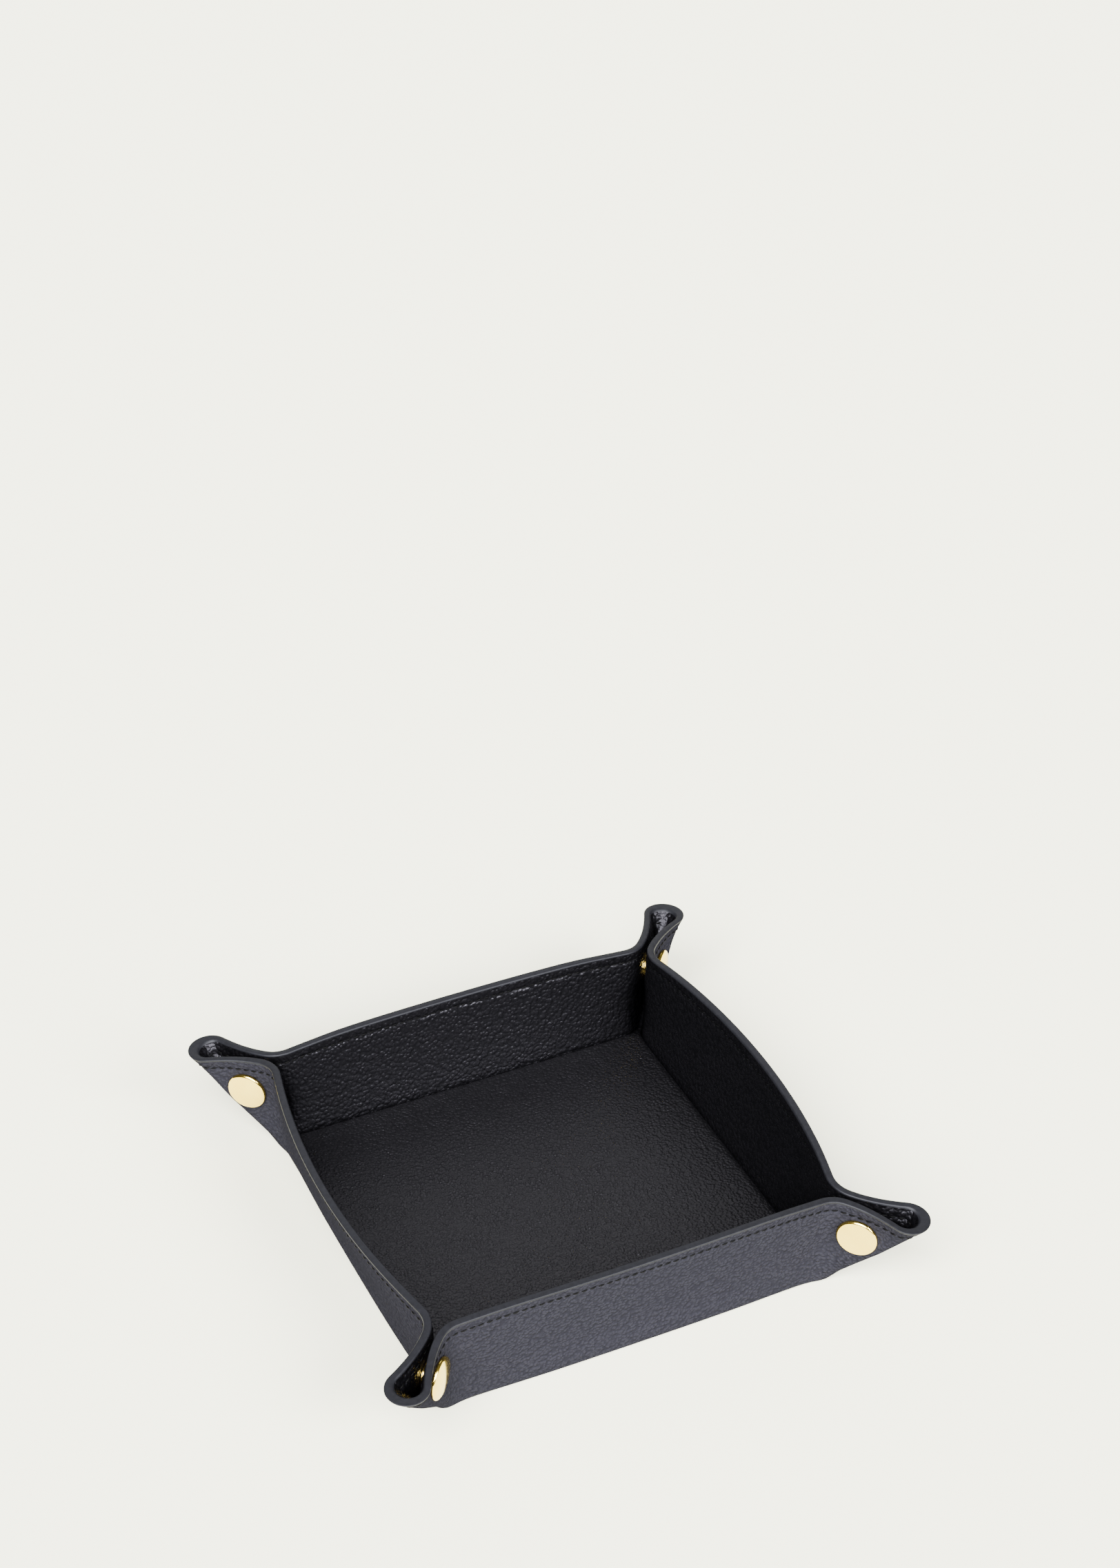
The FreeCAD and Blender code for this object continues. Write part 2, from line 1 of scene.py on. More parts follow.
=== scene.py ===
import bpy
import json
import math
import numpy as np
from mathutils import Matrix, Vector
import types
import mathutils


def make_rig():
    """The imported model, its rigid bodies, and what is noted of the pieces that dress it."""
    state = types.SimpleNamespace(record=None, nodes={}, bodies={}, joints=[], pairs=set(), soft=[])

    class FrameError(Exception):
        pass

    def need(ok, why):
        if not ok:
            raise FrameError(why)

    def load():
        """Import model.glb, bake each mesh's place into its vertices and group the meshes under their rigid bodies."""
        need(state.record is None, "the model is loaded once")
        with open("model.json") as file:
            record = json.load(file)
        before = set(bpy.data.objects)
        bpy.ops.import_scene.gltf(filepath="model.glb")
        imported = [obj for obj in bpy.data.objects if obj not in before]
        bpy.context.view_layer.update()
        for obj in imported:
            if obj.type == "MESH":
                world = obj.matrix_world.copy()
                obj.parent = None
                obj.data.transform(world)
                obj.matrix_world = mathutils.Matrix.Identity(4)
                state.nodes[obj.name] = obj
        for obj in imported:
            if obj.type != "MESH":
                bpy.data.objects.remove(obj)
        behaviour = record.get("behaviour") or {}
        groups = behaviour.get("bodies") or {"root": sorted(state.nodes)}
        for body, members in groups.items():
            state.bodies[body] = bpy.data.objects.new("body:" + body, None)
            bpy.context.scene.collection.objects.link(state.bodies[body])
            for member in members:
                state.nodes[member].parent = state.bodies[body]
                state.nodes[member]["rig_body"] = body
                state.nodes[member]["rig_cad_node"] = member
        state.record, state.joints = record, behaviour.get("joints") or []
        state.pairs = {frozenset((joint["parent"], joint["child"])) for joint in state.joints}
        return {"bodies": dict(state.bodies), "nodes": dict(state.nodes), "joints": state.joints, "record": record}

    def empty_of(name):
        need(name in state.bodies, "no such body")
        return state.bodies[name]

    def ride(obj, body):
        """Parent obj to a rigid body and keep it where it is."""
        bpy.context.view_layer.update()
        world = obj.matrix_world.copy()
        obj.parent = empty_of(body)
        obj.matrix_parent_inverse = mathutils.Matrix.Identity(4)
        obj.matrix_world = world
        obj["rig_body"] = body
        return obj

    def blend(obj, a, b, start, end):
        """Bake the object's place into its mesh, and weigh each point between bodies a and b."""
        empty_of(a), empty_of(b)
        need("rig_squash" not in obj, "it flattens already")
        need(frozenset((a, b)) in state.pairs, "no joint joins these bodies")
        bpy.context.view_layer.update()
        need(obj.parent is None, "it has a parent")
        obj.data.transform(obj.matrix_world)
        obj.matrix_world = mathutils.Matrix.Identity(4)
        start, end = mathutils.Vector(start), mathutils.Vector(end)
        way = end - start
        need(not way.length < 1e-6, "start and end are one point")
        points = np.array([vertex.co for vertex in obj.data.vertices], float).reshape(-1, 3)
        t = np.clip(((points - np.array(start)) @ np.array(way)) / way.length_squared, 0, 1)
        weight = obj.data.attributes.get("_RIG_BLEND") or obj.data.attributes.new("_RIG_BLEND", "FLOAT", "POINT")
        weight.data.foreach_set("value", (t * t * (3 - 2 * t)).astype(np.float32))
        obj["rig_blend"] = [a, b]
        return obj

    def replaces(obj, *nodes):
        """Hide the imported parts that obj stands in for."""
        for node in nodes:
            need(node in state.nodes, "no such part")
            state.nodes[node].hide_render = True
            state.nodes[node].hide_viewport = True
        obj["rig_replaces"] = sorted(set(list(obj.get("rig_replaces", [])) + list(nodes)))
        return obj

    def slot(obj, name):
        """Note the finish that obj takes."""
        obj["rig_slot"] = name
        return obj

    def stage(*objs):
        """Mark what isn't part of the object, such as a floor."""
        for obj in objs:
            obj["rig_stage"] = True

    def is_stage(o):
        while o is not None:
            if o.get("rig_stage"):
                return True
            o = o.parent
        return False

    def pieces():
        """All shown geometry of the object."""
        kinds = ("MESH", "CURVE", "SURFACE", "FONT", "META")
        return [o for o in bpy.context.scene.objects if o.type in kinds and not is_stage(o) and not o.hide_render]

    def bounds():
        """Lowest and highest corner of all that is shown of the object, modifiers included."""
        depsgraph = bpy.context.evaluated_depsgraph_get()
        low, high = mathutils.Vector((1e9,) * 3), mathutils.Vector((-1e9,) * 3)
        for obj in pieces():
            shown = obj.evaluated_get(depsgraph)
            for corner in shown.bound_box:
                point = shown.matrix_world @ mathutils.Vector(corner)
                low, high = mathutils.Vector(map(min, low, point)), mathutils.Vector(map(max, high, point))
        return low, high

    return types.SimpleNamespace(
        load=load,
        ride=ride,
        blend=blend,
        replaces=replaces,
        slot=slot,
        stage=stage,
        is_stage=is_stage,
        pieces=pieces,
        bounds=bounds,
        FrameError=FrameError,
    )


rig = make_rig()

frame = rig.load()
cad_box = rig.bounds()
bpy.ops.object.select_all(action="DESELECT")

# The leather sheet: outer leather and lining glued back to back, cut as one blank and folded.
# Half a wall is worked out as curves at every height: the bowed wall, the shoulder that turns
# outwards, the flat side of the ear, its flare, and the loop at the ear's tip.
# Lengths are in millimetres until a piece is laid out. The levels are the crease, the snap and the rim.
BASE_HALF = 62.5
CORNER = BASE_HALF * math.sqrt(2)
SHEET = 2.4
LOW, MID, TOP = 1.0, 21.5, 34.6
RIM_OUT = {"front": 4.6, "side": 10.0}
RIM_BOW = {"front": 1120.0, "side": 234.0}
PINCH_HALF = 0.8
PINCH_LOW, PINCH_RISE = -2.9, 7.5
PINCH_TILT = math.atan2(PINCH_RISE, TOP - LOW)
PINCH_LINE = (CORNER + PINCH_LOW) * math.cos(PINCH_TILT) - LOW * math.sin(PINCH_TILT)
SHOULDER_RUN = 8.0
LEAST_FLARE, LEAST_SIDE = 1.0, 0.3
LEAST_RISE, LEAST_SPREAD, LEAST_SQUARE = 0.02, 0.05, 0.01
TIP_TILT, TIP_START = math.radians(43.5), -4.6
TIP_ROOM = (0.4, 1.0)
CURVE_ROUNDS = 5


def level_curve(low, mid, top):
    """A smooth size along the height, through its values at the crease, the snap and the rim."""
    first = (mid - low) / (MID - LOW)
    second = (top - mid) / (TOP - MID)
    slope = 2 * first * second / (first + second)
    start, end = 1.5 * first - 0.5 * slope, 1.5 * second - 0.5 * slope

    def size(z):
        span = np.where(z < MID, MID - LOW, TOP - MID)
        t = np.where(z < MID, (z - LOW) / span, (z - MID) / span)
        a, b = np.where(z < MID, low, mid), np.where(z < MID, mid, top)
        m, n = np.where(z < MID, start, slope) * span, np.where(z < MID, slope, end) * span
        inside = (a * (1 + 2 * t) * (1 - t) ** 2 + m * t * (1 - t) ** 2
                  + b * t ** 2 * (3 - 2 * t) + n * t ** 2 * (t - 1))
        above = np.where(z > TOP, top + end * (z - TOP), inside)
        return np.where(z < LOW, low + start * (z - LOW), above)

    return size


# how far past the base's corner the ear begins and ends, and the radii of its loop and flare
pinch_start = level_curve(
    PINCH_LOW, PINCH_LOW + PINCH_RISE * (MID - LOW) / (TOP - LOW), PINCH_LOW + PINCH_RISE)
inside_tip = level_curve(-1.4, 18.0, 30.1)
outside_tip = level_curve(0.8, 21.15, 33.45)
loop_inside = level_curve(0.9, 1.5, 6.6)
flare_radius = level_curve(2.0, 10.0, 60.0)


def folded(zone, share, z, depth, wall):
    """A point of the folded sheet: x along the wall towards the corner, y outwards."""
    rise = (z - LOW) / (TOP - LOW)
    bow = RIM_BOW[wall] / np.clip(rise, LEAST_RISE, None)
    bow_y = BASE_HALF + RIM_OUT[wall] * rise - bow
    pinch_u = CORNER + pinch_start(z)
    side = PINCH_HALF + SHEET
    over = (bow ** 2 - bow_y ** 2 - pinch_u ** 2 - side ** 2
            + math.sqrt(2) * bow_y * (pinch_u + side))
    shoulder = over / (2 * side - math.sqrt(2) * bow_y - 2 * bow)
    turn_x = (pinch_u - side - shoulder) / math.sqrt(2)
    turn_y = (pinch_u + side + shoulder) / math.sqrt(2)
    turn = np.arctan2(turn_x, turn_y - bow_y)
    radius = bow - SHEET + depth
    bend = shoulder + SHEET - depth
    v = PINCH_HALF + depth
    loop = loop_inside(z) + depth
    tip_u = CORNER + inside_tip(z) + (outside_tip(z) - inside_tip(z)) * depth / SHEET
    loop_u = tip_u - loop
    # the flare is as wide as the straight side leaves room for
    room = CORNER + inside_tip(z) - loop_inside(z) - pinch_u - LEAST_SIDE
    spread = np.clip(loop_inside(z) - PINCH_HALF, LEAST_SPREAD, None)
    widest = (room ** 2 / spread - loop_inside(z) - PINCH_HALF) / 2 - SHEET
    flare = np.minimum(flare_radius(z), np.maximum(widest, LEAST_FLARE)) + SHEET - depth
    flare_v = v + flare
    flare_u = loop_u - np.sqrt(np.clip((flare + loop) ** 2 - flare_v ** 2, LEAST_SQUARE, None))
    flare_turn = np.arctan2(loop_u - flare_u, flare_v)
    loop_turn = math.pi / 2 + flare_turn
    lengths = np.cumsum([radius * turn, bend * (math.pi / 4 + turn), flare_u - pinch_u,
                         flare * flare_turn, loop * loop_turn], axis=0)
    # where the wall ends and the ear begins, on a line along the pinch
    start_u = (PINCH_LINE - SHOULDER_RUN + math.sin(PINCH_TILT) * z) / math.cos(PINCH_TILT)
    reach_y = bow_y + radius
    for _ in range(CURVE_ROUNDS):
        angle = np.arcsin(np.clip((math.sqrt(2) * start_u - reach_y) / radius, -1, 1))
        reach_y = bow_y + radius * np.cos(angle)
    ear_from = radius * angle
    # where the ear's side ends and its tip begins, on a line along the fold
    end_u = CORNER + (TIP_START + math.sin(TIP_TILT) * z) / math.cos(TIP_TILT)
    end_u = np.clip(end_u, pinch_u + TIP_ROOM[0], tip_u - TIP_ROOM[1])
    on_flare = lengths[2] + flare * np.arcsin(np.clip((end_u - flare_u) / flare, 0, 1))
    on_loop = lengths[3] + loop * (loop_turn - np.arccos(np.clip((end_u - loop_u) / loop, -1, 1)))
    meet_u = flare_u + flare * np.sin(flare_turn)
    past_side = np.where(end_u < meet_u, on_flare, on_loop)
    tip_from = np.where(end_u < flare_u, lengths[1] + end_u - pinch_u, past_side)
    start = np.where(zone == 0, 0.0, np.where(zone == 1, ear_from, tip_from))
    stop = np.where(zone == 0, ear_from, np.where(zone == 1, tip_from, lengths[4]))
    run = start + share * (stop - start)
    # the five curves, one after the other
    bowed = run / radius
    turned = -math.pi / 2 - turn + (run - lengths[0]) / bend
    straight = pinch_u + run - lengths[1]
    flared = (run - lengths[2]) / flare
    looped = loop_turn - (run - lengths[3]) / loop
    along = np.where(run < lengths[2], straight, np.where(
        run < lengths[3], flare_u + flare * np.sin(flared), loop_u + loop * np.cos(looped)))
    across = np.where(run < lengths[2], v, np.where(
        run < lengths[3], flare_v - flare * np.cos(flared), loop * np.sin(looped)))
    x = np.where(run < lengths[0], radius * np.sin(bowed), np.where(
        run < lengths[1], turn_x + bend * np.cos(turned), (along - across) / math.sqrt(2)))
    y = np.where(run < lengths[0], bow_y + radius * np.cos(bowed), np.where(
        run < lengths[1], turn_y + bend * np.sin(turned), (along + across) / math.sqrt(2)))
    return x, y


# Columns run along the sheet: half a wall, one side of the ear, half of its tip
COLUMNS = {"wall": 44, "ear": 34, "tip": 26}
EAR_COLUMN = COLUMNS["wall"]
TIP_COLUMN = EAR_COLUMN + COLUMNS["ear"]
LAST_COLUMN = TIP_COLUMN + COLUMNS["tip"]
zones = np.repeat([0, 1, 2], [EAR_COLUMN + 1, COLUMNS["ear"], COLUMNS["tip"]])
shares = np.concatenate([np.linspace(0, 1, EAR_COLUMN + 1), np.linspace(0, 1, COLUMNS["ear"] + 1)[1:],
                         np.linspace(0, 1, COLUMNS["tip"] + 1)[1:]])

# Rows run across the sheet, from the middle of the floor over the rim to the middle of the underside
FLOOR_LEVEL, CREASE_LEVEL, CREASE_DEPTH = 3.6, 1.6, 0.15
FLOOR_HALF, FLOOR_CORNER = 58.0, 3.0
FLOOR_SCALES = (0.0, 0.2, 0.4, 0.58, 0.72, 0.83, 0.91, 0.955, 0.98, 1.0)
ROLL = ((0.35, 3.52), (0.7, 3.25), (0.88, 2.9), (0.96, 2.4), (1.0, CREASE_LEVEL))
LOWER_ROWS, INSIDE_START, OUTSIDE_START = 20, 2.3, 1.9
TUCK, TUCK_FADE = 0.12, 30
UPPER_PITCH = 0.335
UPPER = tuple(np.arange(1.3, 6.01, UPPER_PITCH))
UPPER_GAP = 0.35
STITCH_DROP = 3.3
GROOVE_DEPTH, GROOVE_WIDTH = 0.22, 0.65
RIM = ((0.0, 0.6), (0.04, 0.32), (0.16, 0.13), (0.4, 0.03), (1.2, 0.0), (2.0, 0.03), (2.24, 0.13),
       (2.36, 0.32), (2.4, 0.6))
RIM_ROUNDS = 30
RIM_LEVEL = {"front": 34.9, "side": 34.3}
MIDDLE_HALF, MIDDLE_EASE = 45.0, 4.0
FALL_START, FALL_SLOPE, FALL_EASE = CORNER - 9.0, 0.136, 3.0
BULGE, BULGE_LEVEL, BULGE_REACH = 0.9, 2.5, 5.0
SOLE = ((1.3, 1.0), (0.75, 0.9992), (0.35, 0.9972), (0.1, 0.993), (0.0, 0.987), (0.0, 0.966),
        (0.0, 0.945), (0.0, 0.7), (0.0, 0.4), (0.0, 0.0))
SOLE_CURVE = 0.3
EASED = ((("outside", "stitch_outside", "sole"), (5.0, 16.0)), (("inside",), (6.0, 22.0)))
EASE_ROUNDS = 160


def eased(line, share):
    """Curves drawn smooth along the sheet, each point by its share; they meet the diagonal squarely."""
    line = line.copy()
    for _ in range(EASE_ROUNDS):
        ahead = np.concatenate([line[..., 1:, :], line[..., -2:-1, ::-1]], axis=-2)
        pull = (ahead[..., 1:, :] + line[..., :-1, :]) / 2 - line[..., 1:, :]
        line[..., 1:, :] += 0.5 * share[..., 1:, None] * pull
    return line


def groove(drop):
    """How deep the thread has pulled the sheet in, by the distance below the edge."""
    return GROOVE_DEPTH * np.exp(-((drop - STITCH_DROP) / GROOVE_WIDTH) ** 2)


def bulge(z):
    """How far the outer leather swells over the fold at the wall's foot."""
    return BULGE * np.exp(-np.square((z - BULGE_LEVEL) / BULGE_REACH)) * (zones == 0) * (1 - shares ** 4)


def rim_line(wall):
    """The height of the edge along the sheet: level along the wall, falling towards the ear's tip."""
    rim = np.full(len(zones), TOP)
    for _ in range(RIM_ROUNDS):
        x, y = folded(zones, shares, rim, SHEET / 2, wall)
        fall = FALL_EASE * np.logaddexp(0, ((x + y) / math.sqrt(2) - FALL_START) / FALL_EASE)
        middle = 1 / (1 + np.exp((np.abs(x) - MIDDLE_HALF) / MIDDLE_EASE))
        rim = 0.5 * rim + 0.5 * (TOP + (RIM_LEVEL[wall] - TOP) * middle - FALL_SLOPE * fall)
    return rim


def sheet_rows(wall):
    """All points of half a wall, with its share of floor and underside: rows by columns by x, y, z."""
    rim = rim_line(wall)
    rows, names = [], []

    def add(z, depth, name):
        x, y = folded(zones, shares, z, depth, wall)
        rows.append((x, y, z))
        names.append(name)

    # floor: a rounded square that spreads the columns round its corner, and rolls down to the crease
    corner_share = np.clip((np.arange(len(zones)) - EAR_COLUMN) / (LAST_COLUMN - EAR_COLUMN), 0, 1)
    corner_turn = corner_share * math.pi / 4
    straight = FLOOR_HALF - FLOOR_CORNER
    floor_x = np.where(zones == 0, shares * straight, straight + FLOOR_CORNER * np.sin(corner_turn))
    floor_y = np.where(zones == 0, FLOOR_HALF, straight + FLOOR_CORNER * np.cos(corner_turn))
    for scale in FLOOR_SCALES:
        rows.append((floor_x * scale, floor_y * scale, np.full(len(zones), FLOOR_LEVEL)))
        names.append("floor")
    crease = folded(zones, shares, np.full(len(zones), CREASE_LEVEL), CREASE_DEPTH, wall)
    crease_x, crease_y = eased(np.stack(crease, axis=-1), np.ones(len(zones))).T
    for share, level in ROLL:
        rows.append((floor_x + (crease_x - floor_x) * share, floor_y + (crease_y - floor_y) * share,
                     np.full(len(zones), level)))
        names.append("roll")
    # up the lining, over the painted edge, and down the outer leather
    lower = np.linspace(0, 1, LOWER_ROWS)
    lower_top = rim - UPPER[-1] - UPPER_GAP
    for t in lower:
        add(INSIDE_START + (lower_top - INSIDE_START) * t, TUCK * np.exp(-t * TUCK_FADE), "inside")
    stitched = [abs(drop - STITCH_DROP) < UPPER_PITCH / 2 for drop in UPPER]
    for drop, held in zip(UPPER[::-1], stitched[::-1]):
        add(rim - drop, groove(drop), "stitch_inside" if held else "inside")
    for depth, drop in RIM:
        add(rim - drop, depth, "rim")
    for drop, held in zip(UPPER, stitched):
        add(rim - drop, SHEET - groove(drop), "stitch_outside" if held else "outside")
    for t in lower[::-1]:
        z = OUTSIDE_START + (lower_top - OUTSIDE_START) * t
        add(z, SHEET + bulge(z), "outside")
    for level, scale in SOLE:
        z = np.full(len(zones), max(level, SOLE_CURVE))
        x, y = folded(zones, shares, z, SHEET + bulge(z), wall)
        rows.append((x * scale, y * scale, np.full(len(zones), level)))
        names.append("sole")
    points = np.array(rows).transpose(0, 2, 1)
    # low down, both faces swing round the corner in one easy curve
    for faces, (low, high) in EASED:
        share = np.array([name in faces for name in names])[:, None]
        share = share * np.clip((high - points[..., 2]) / (high - low), 0, 1)
        points[..., :2] = eased(points[..., :2], share)
    return points, names


SOFTNESS = {"outside": 24, "stitch_outside": 24, "inside": 14, "stitch_inside": 14}


def sheet_normals(points, names):
    """Smooth outward normals of the sheet, true across the wall's middle and the ear's tip."""
    down = np.gradient(points, axis=0)
    along = np.gradient(points, axis=1)
    normal = np.cross(along, down)
    normal[:, 0, 0] = 0.0
    nose = (normal[:, -1, 0] + normal[:, -1, 1]) / 2
    normal[:, -1, 0] = nose
    normal[:, -1, 1] = nose
    normal /= np.clip(np.linalg.norm(normal, axis=2, keepdims=True), 1e-12, None)
    # soft leather turns its light gently round the shoulder
    for row, name in enumerate(names):
        for _ in range(SOFTNESS.get(name, 0)):
            inner = normal[row, 1:-1] * 2 + normal[row, :-2] + normal[row, 2:]
            normal[row, 1:-1] = inner / np.linalg.norm(inner, axis=1, keepdims=True)
    normal[0] = (0, 0, 1)
    normal[-1] = (0, 0, -1)
    return normal


HALVES = {}
for wall in ("front", "side"):
    points, ROWS = sheet_rows(wall)
    HALVES[wall] = (points, sheet_normals(points, ROWS))
FIRST_INSIDE, FIRST_RIM, FIRST_SOLE = (ROWS.index(name) for name in ("inside", "rim", "sole"))
LAST_ROLL = FIRST_INSIDE - 1

# Leather finish: black full grain with raised pebbles, darker and tighter in the folds between them.
# The pattern sits on the sheet's own points at rest, so that it stays put when the sheet bends.
# Scales are per metre.
WARP_SCALE, WARP_SHIFT = 420.0, 0.0011
DOME = ((0.0, 1.0), (0.35, 0.82), (0.62, 0.3), (0.85, 0.0))
ROUNDING = 0.3
FINE_SCALE, FINE_SHARE = 2300.0, 0.12
BROAD_SCALE, BROAD_SPAN, SHALLOWEST = 160.0, (0.3, 0.7), 0.65
FOLD_SCALE, FOLD_STRETCH = 620.0, 0.16
EAR_REACH = (0.100, 0.122)
TONE_SPAN = (0.1, 0.9)
GLOSS_SPAN = (-0.08, 0.12)


def add_node(tree, kind, **settings):
    node = tree.nodes.new(kind)
    for key, value in settings.items():
        if key in node.inputs:
            node.inputs[key].default_value = value
        else:
            setattr(node, key, value)
    return node


def new_finish(name):
    material = bpy.data.materials.new(name)
    material.use_nodes = True
    return material, material.node_tree, material.node_tree.nodes["Principled BSDF"]


def ramp(tree, stops):
    node = tree.nodes.new("ShaderNodeValToRGB")
    while len(node.color_ramp.elements) < len(stops):
        node.color_ramp.elements.new(0.5)
    for element, (place, shade) in zip(node.color_ramp.elements, stops):
        element.position = place
        element.color = (*shade, 1.0)
    return node


def pebbled_leather(name, dark, light, gloss, sheen, tint, pebble, height, crease):
    material, tree, shader = new_finish(name)
    link = tree.links.new
    rest = add_node(tree, "ShaderNodeAttribute", attribute_name="rest")
    # pebbles: rounded cells, pushed out of their order
    warp = add_node(tree, "ShaderNodeTexNoise", Scale=WARP_SCALE, Detail=2.0)
    link(rest.outputs["Vector"], warp.inputs["Vector"])
    shift = add_node(tree, "ShaderNodeVectorMath", operation="MULTIPLY_ADD")
    shift.inputs[1].default_value = (WARP_SHIFT, WARP_SHIFT, WARP_SHIFT)
    link(warp.outputs["Color"], shift.inputs[0])
    link(rest.outputs["Vector"], shift.inputs[2])
    cells = add_node(tree, "ShaderNodeTexVoronoi", feature="SMOOTH_F1",
                     Scale=1.0 / pebble, Smoothness=ROUNDING)
    link(shift.outputs["Vector"], cells.inputs["Vector"])
    dome = ramp(tree, [(place, (level, level, level)) for place, level in DOME])
    link(cells.outputs["Distance"], dome.inputs["Fac"])
    fine = add_node(tree, "ShaderNodeTexNoise", Scale=FINE_SCALE, Detail=3.0)
    link(rest.outputs["Vector"], fine.inputs["Vector"])
    broad = add_node(tree, "ShaderNodeTexNoise", Scale=BROAD_SCALE, Detail=3.0)
    link(rest.outputs["Vector"], broad.inputs["Vector"])
    # the valleys between pebbles run deep in some places and fade in others
    depth = add_node(tree, "ShaderNodeMapRange")
    depth.inputs["From Min"].default_value, depth.inputs["From Max"].default_value = BROAD_SPAN
    depth.inputs["To Min"].default_value = SHALLOWEST
    link(broad.outputs["Fac"], depth.inputs["Value"])
    pebbles = add_node(tree, "ShaderNodeMath", operation="MULTIPLY")
    link(dome.outputs["Color"], pebbles.inputs[0])
    link(depth.outputs["Result"], pebbles.inputs[1])
    grain = add_node(tree, "ShaderNodeMath", operation="MULTIPLY_ADD")
    grain.inputs[1].default_value = FINE_SHARE
    link(fine.outputs["Fac"], grain.inputs[0])
    link(pebbles.outputs["Value"], grain.inputs[2])
    # upright creases where the sheet is pulled round the corner
    part = add_node(tree, "ShaderNodeSeparateXYZ")
    link(rest.outputs["Vector"], part.inputs["Vector"])
    reach = add_node(tree, "ShaderNodeMath", operation="ADD")
    for place, axis in enumerate("XY"):
        size = add_node(tree, "ShaderNodeMath", operation="ABSOLUTE")
        link(part.outputs[axis], size.inputs[0])
        link(size.outputs["Value"], reach.inputs[place])
    near_ear = add_node(tree, "ShaderNodeMapRange", interpolation_type="SMOOTHSTEP")
    near_ear.inputs["From Min"].default_value, near_ear.inputs["From Max"].default_value = EAR_REACH
    link(reach.outputs["Value"], near_ear.inputs["Value"])
    pulled = add_node(tree, "ShaderNodeVectorMath", operation="MULTIPLY")
    pulled.inputs[1].default_value = (1.0, 1.0, FOLD_STRETCH)
    link(shift.outputs["Vector"], pulled.inputs[0])
    folds = add_node(tree, "ShaderNodeTexNoise", Scale=FOLD_SCALE, Detail=2.0)
    link(pulled.outputs["Vector"], folds.inputs["Vector"])
    creased = add_node(tree, "ShaderNodeMath", operation="MULTIPLY")
    link(folds.outputs["Fac"], creased.inputs[0])
    link(near_ear.outputs["Result"], creased.inputs[1])
    surface = add_node(tree, "ShaderNodeMath", operation="MULTIPLY_ADD")
    surface.inputs[1].default_value = crease
    link(creased.outputs["Value"], surface.inputs[0])
    link(grain.outputs["Value"], surface.inputs[2])
    bump = add_node(tree, "ShaderNodeBump", Strength=1.0, Distance=height)
    link(surface.outputs["Value"], bump.inputs["Height"])
    link(bump.outputs["Normal"], shader.inputs["Normal"])
    # colour and gloss follow the grain
    tone = ramp(tree, tuple(zip(TONE_SPAN, (dark, light))))
    link(grain.outputs["Value"], tone.inputs["Fac"])
    link(tone.outputs["Color"], shader.inputs["Base Color"])
    rough = add_node(tree, "ShaderNodeMapRange")
    rough.inputs["To Min"].default_value = gloss + GLOSS_SPAN[0]
    rough.inputs["To Max"].default_value = gloss + GLOSS_SPAN[1]
    link(fine.outputs["Fac"], rough.inputs["Value"])
    link(rough.outputs["Result"], shader.inputs["Roughness"])
    # painted shade: deep in the pinch, and part way inside the ear's loops, the leather's reflection is turned down
    pinch = add_node(tree, "ShaderNodeAttribute", attribute_name="pinch")
    shaded_sheen = add_node(tree, "ShaderNodeMapRange")
    shaded_sheen.inputs["To Min"].default_value = sheen
    shaded_sheen.inputs["To Max"].default_value = 0.0
    link(pinch.outputs["Fac"], shaded_sheen.inputs["Value"])
    link(shaded_sheen.outputs["Result"], shader.inputs["Specular IOR Level"])
    shader.inputs["Specular Tint"].default_value = (*tint, 1.0)
    return material


outer_leather = pebbled_leather(
    "outer_leather", dark=(0.0118, 0.0116, 0.0156), light=(0.0176, 0.0173, 0.0228), gloss=0.6, sheen=0.0,
    tint=(1.0, 1.0, 1.0), pebble=0.00100, height=0.00040, crease=1.5)
lining_leather = pebbled_leather(
    "lining_leather", dark=(0.0004, 0.0004, 0.0005), light=(0.0012, 0.0011, 0.0014), gloss=0.36, sheen=0.30,
    tint=(0.88, 0.86, 1.0), pebble=0.00122, height=0.00023, crease=1.0)
# the floor's lining: the same leather pressed flat by the board, so its pebbles are smaller and shallower; its colour
# is painted lighter than the walls' lining, a painted light on the floor that faces the lamps
floor_leather = pebbled_leather(
    "floor_leather", dark=(0.0006, 0.0006, 0.0007), light=(0.0020, 0.0019, 0.0022), gloss=0.42, sheen=0.32,
    tint=(0.9, 0.87, 1.0), pebble=0.00095, height=0.00024, crease=1.0)

# Edge paint: dark grey dressing rolled over the cut edges of both sheets, satin and a little uneven.
# It is laid on after the sheets are stitched together and trimmed flush, and rounds the edge off.
edge_paint, tree, shader = new_finish("edge_paint")
rest = add_node(tree, "ShaderNodeAttribute", attribute_name="rest")
streak = add_node(tree, "ShaderNodeTexNoise", Scale=700.0, Detail=4.0)
tree.links.new(rest.outputs["Vector"], streak.inputs["Vector"])
shade = ramp(tree, ((0.3, (0.0038, 0.0038, 0.0050)), (0.7, (0.0062, 0.0063, 0.0080))))
tree.links.new(streak.outputs["Fac"], shade.inputs["Fac"])
tree.links.new(shade.outputs["Color"], shader.inputs["Base Color"])
wave = add_node(tree, "ShaderNodeBump", Strength=0.5, Distance=0.00004)
tree.links.new(streak.outputs["Fac"], wave.inputs["Height"])
tree.links.new(wave.outputs["Normal"], shader.inputs["Normal"])
shader.inputs["Roughness"].default_value = 0.5
shader.inputs["Specular IOR Level"].default_value = 0.2
shader.inputs["Specular Tint"].default_value = (0.9, 0.92, 1.0, 1.0)
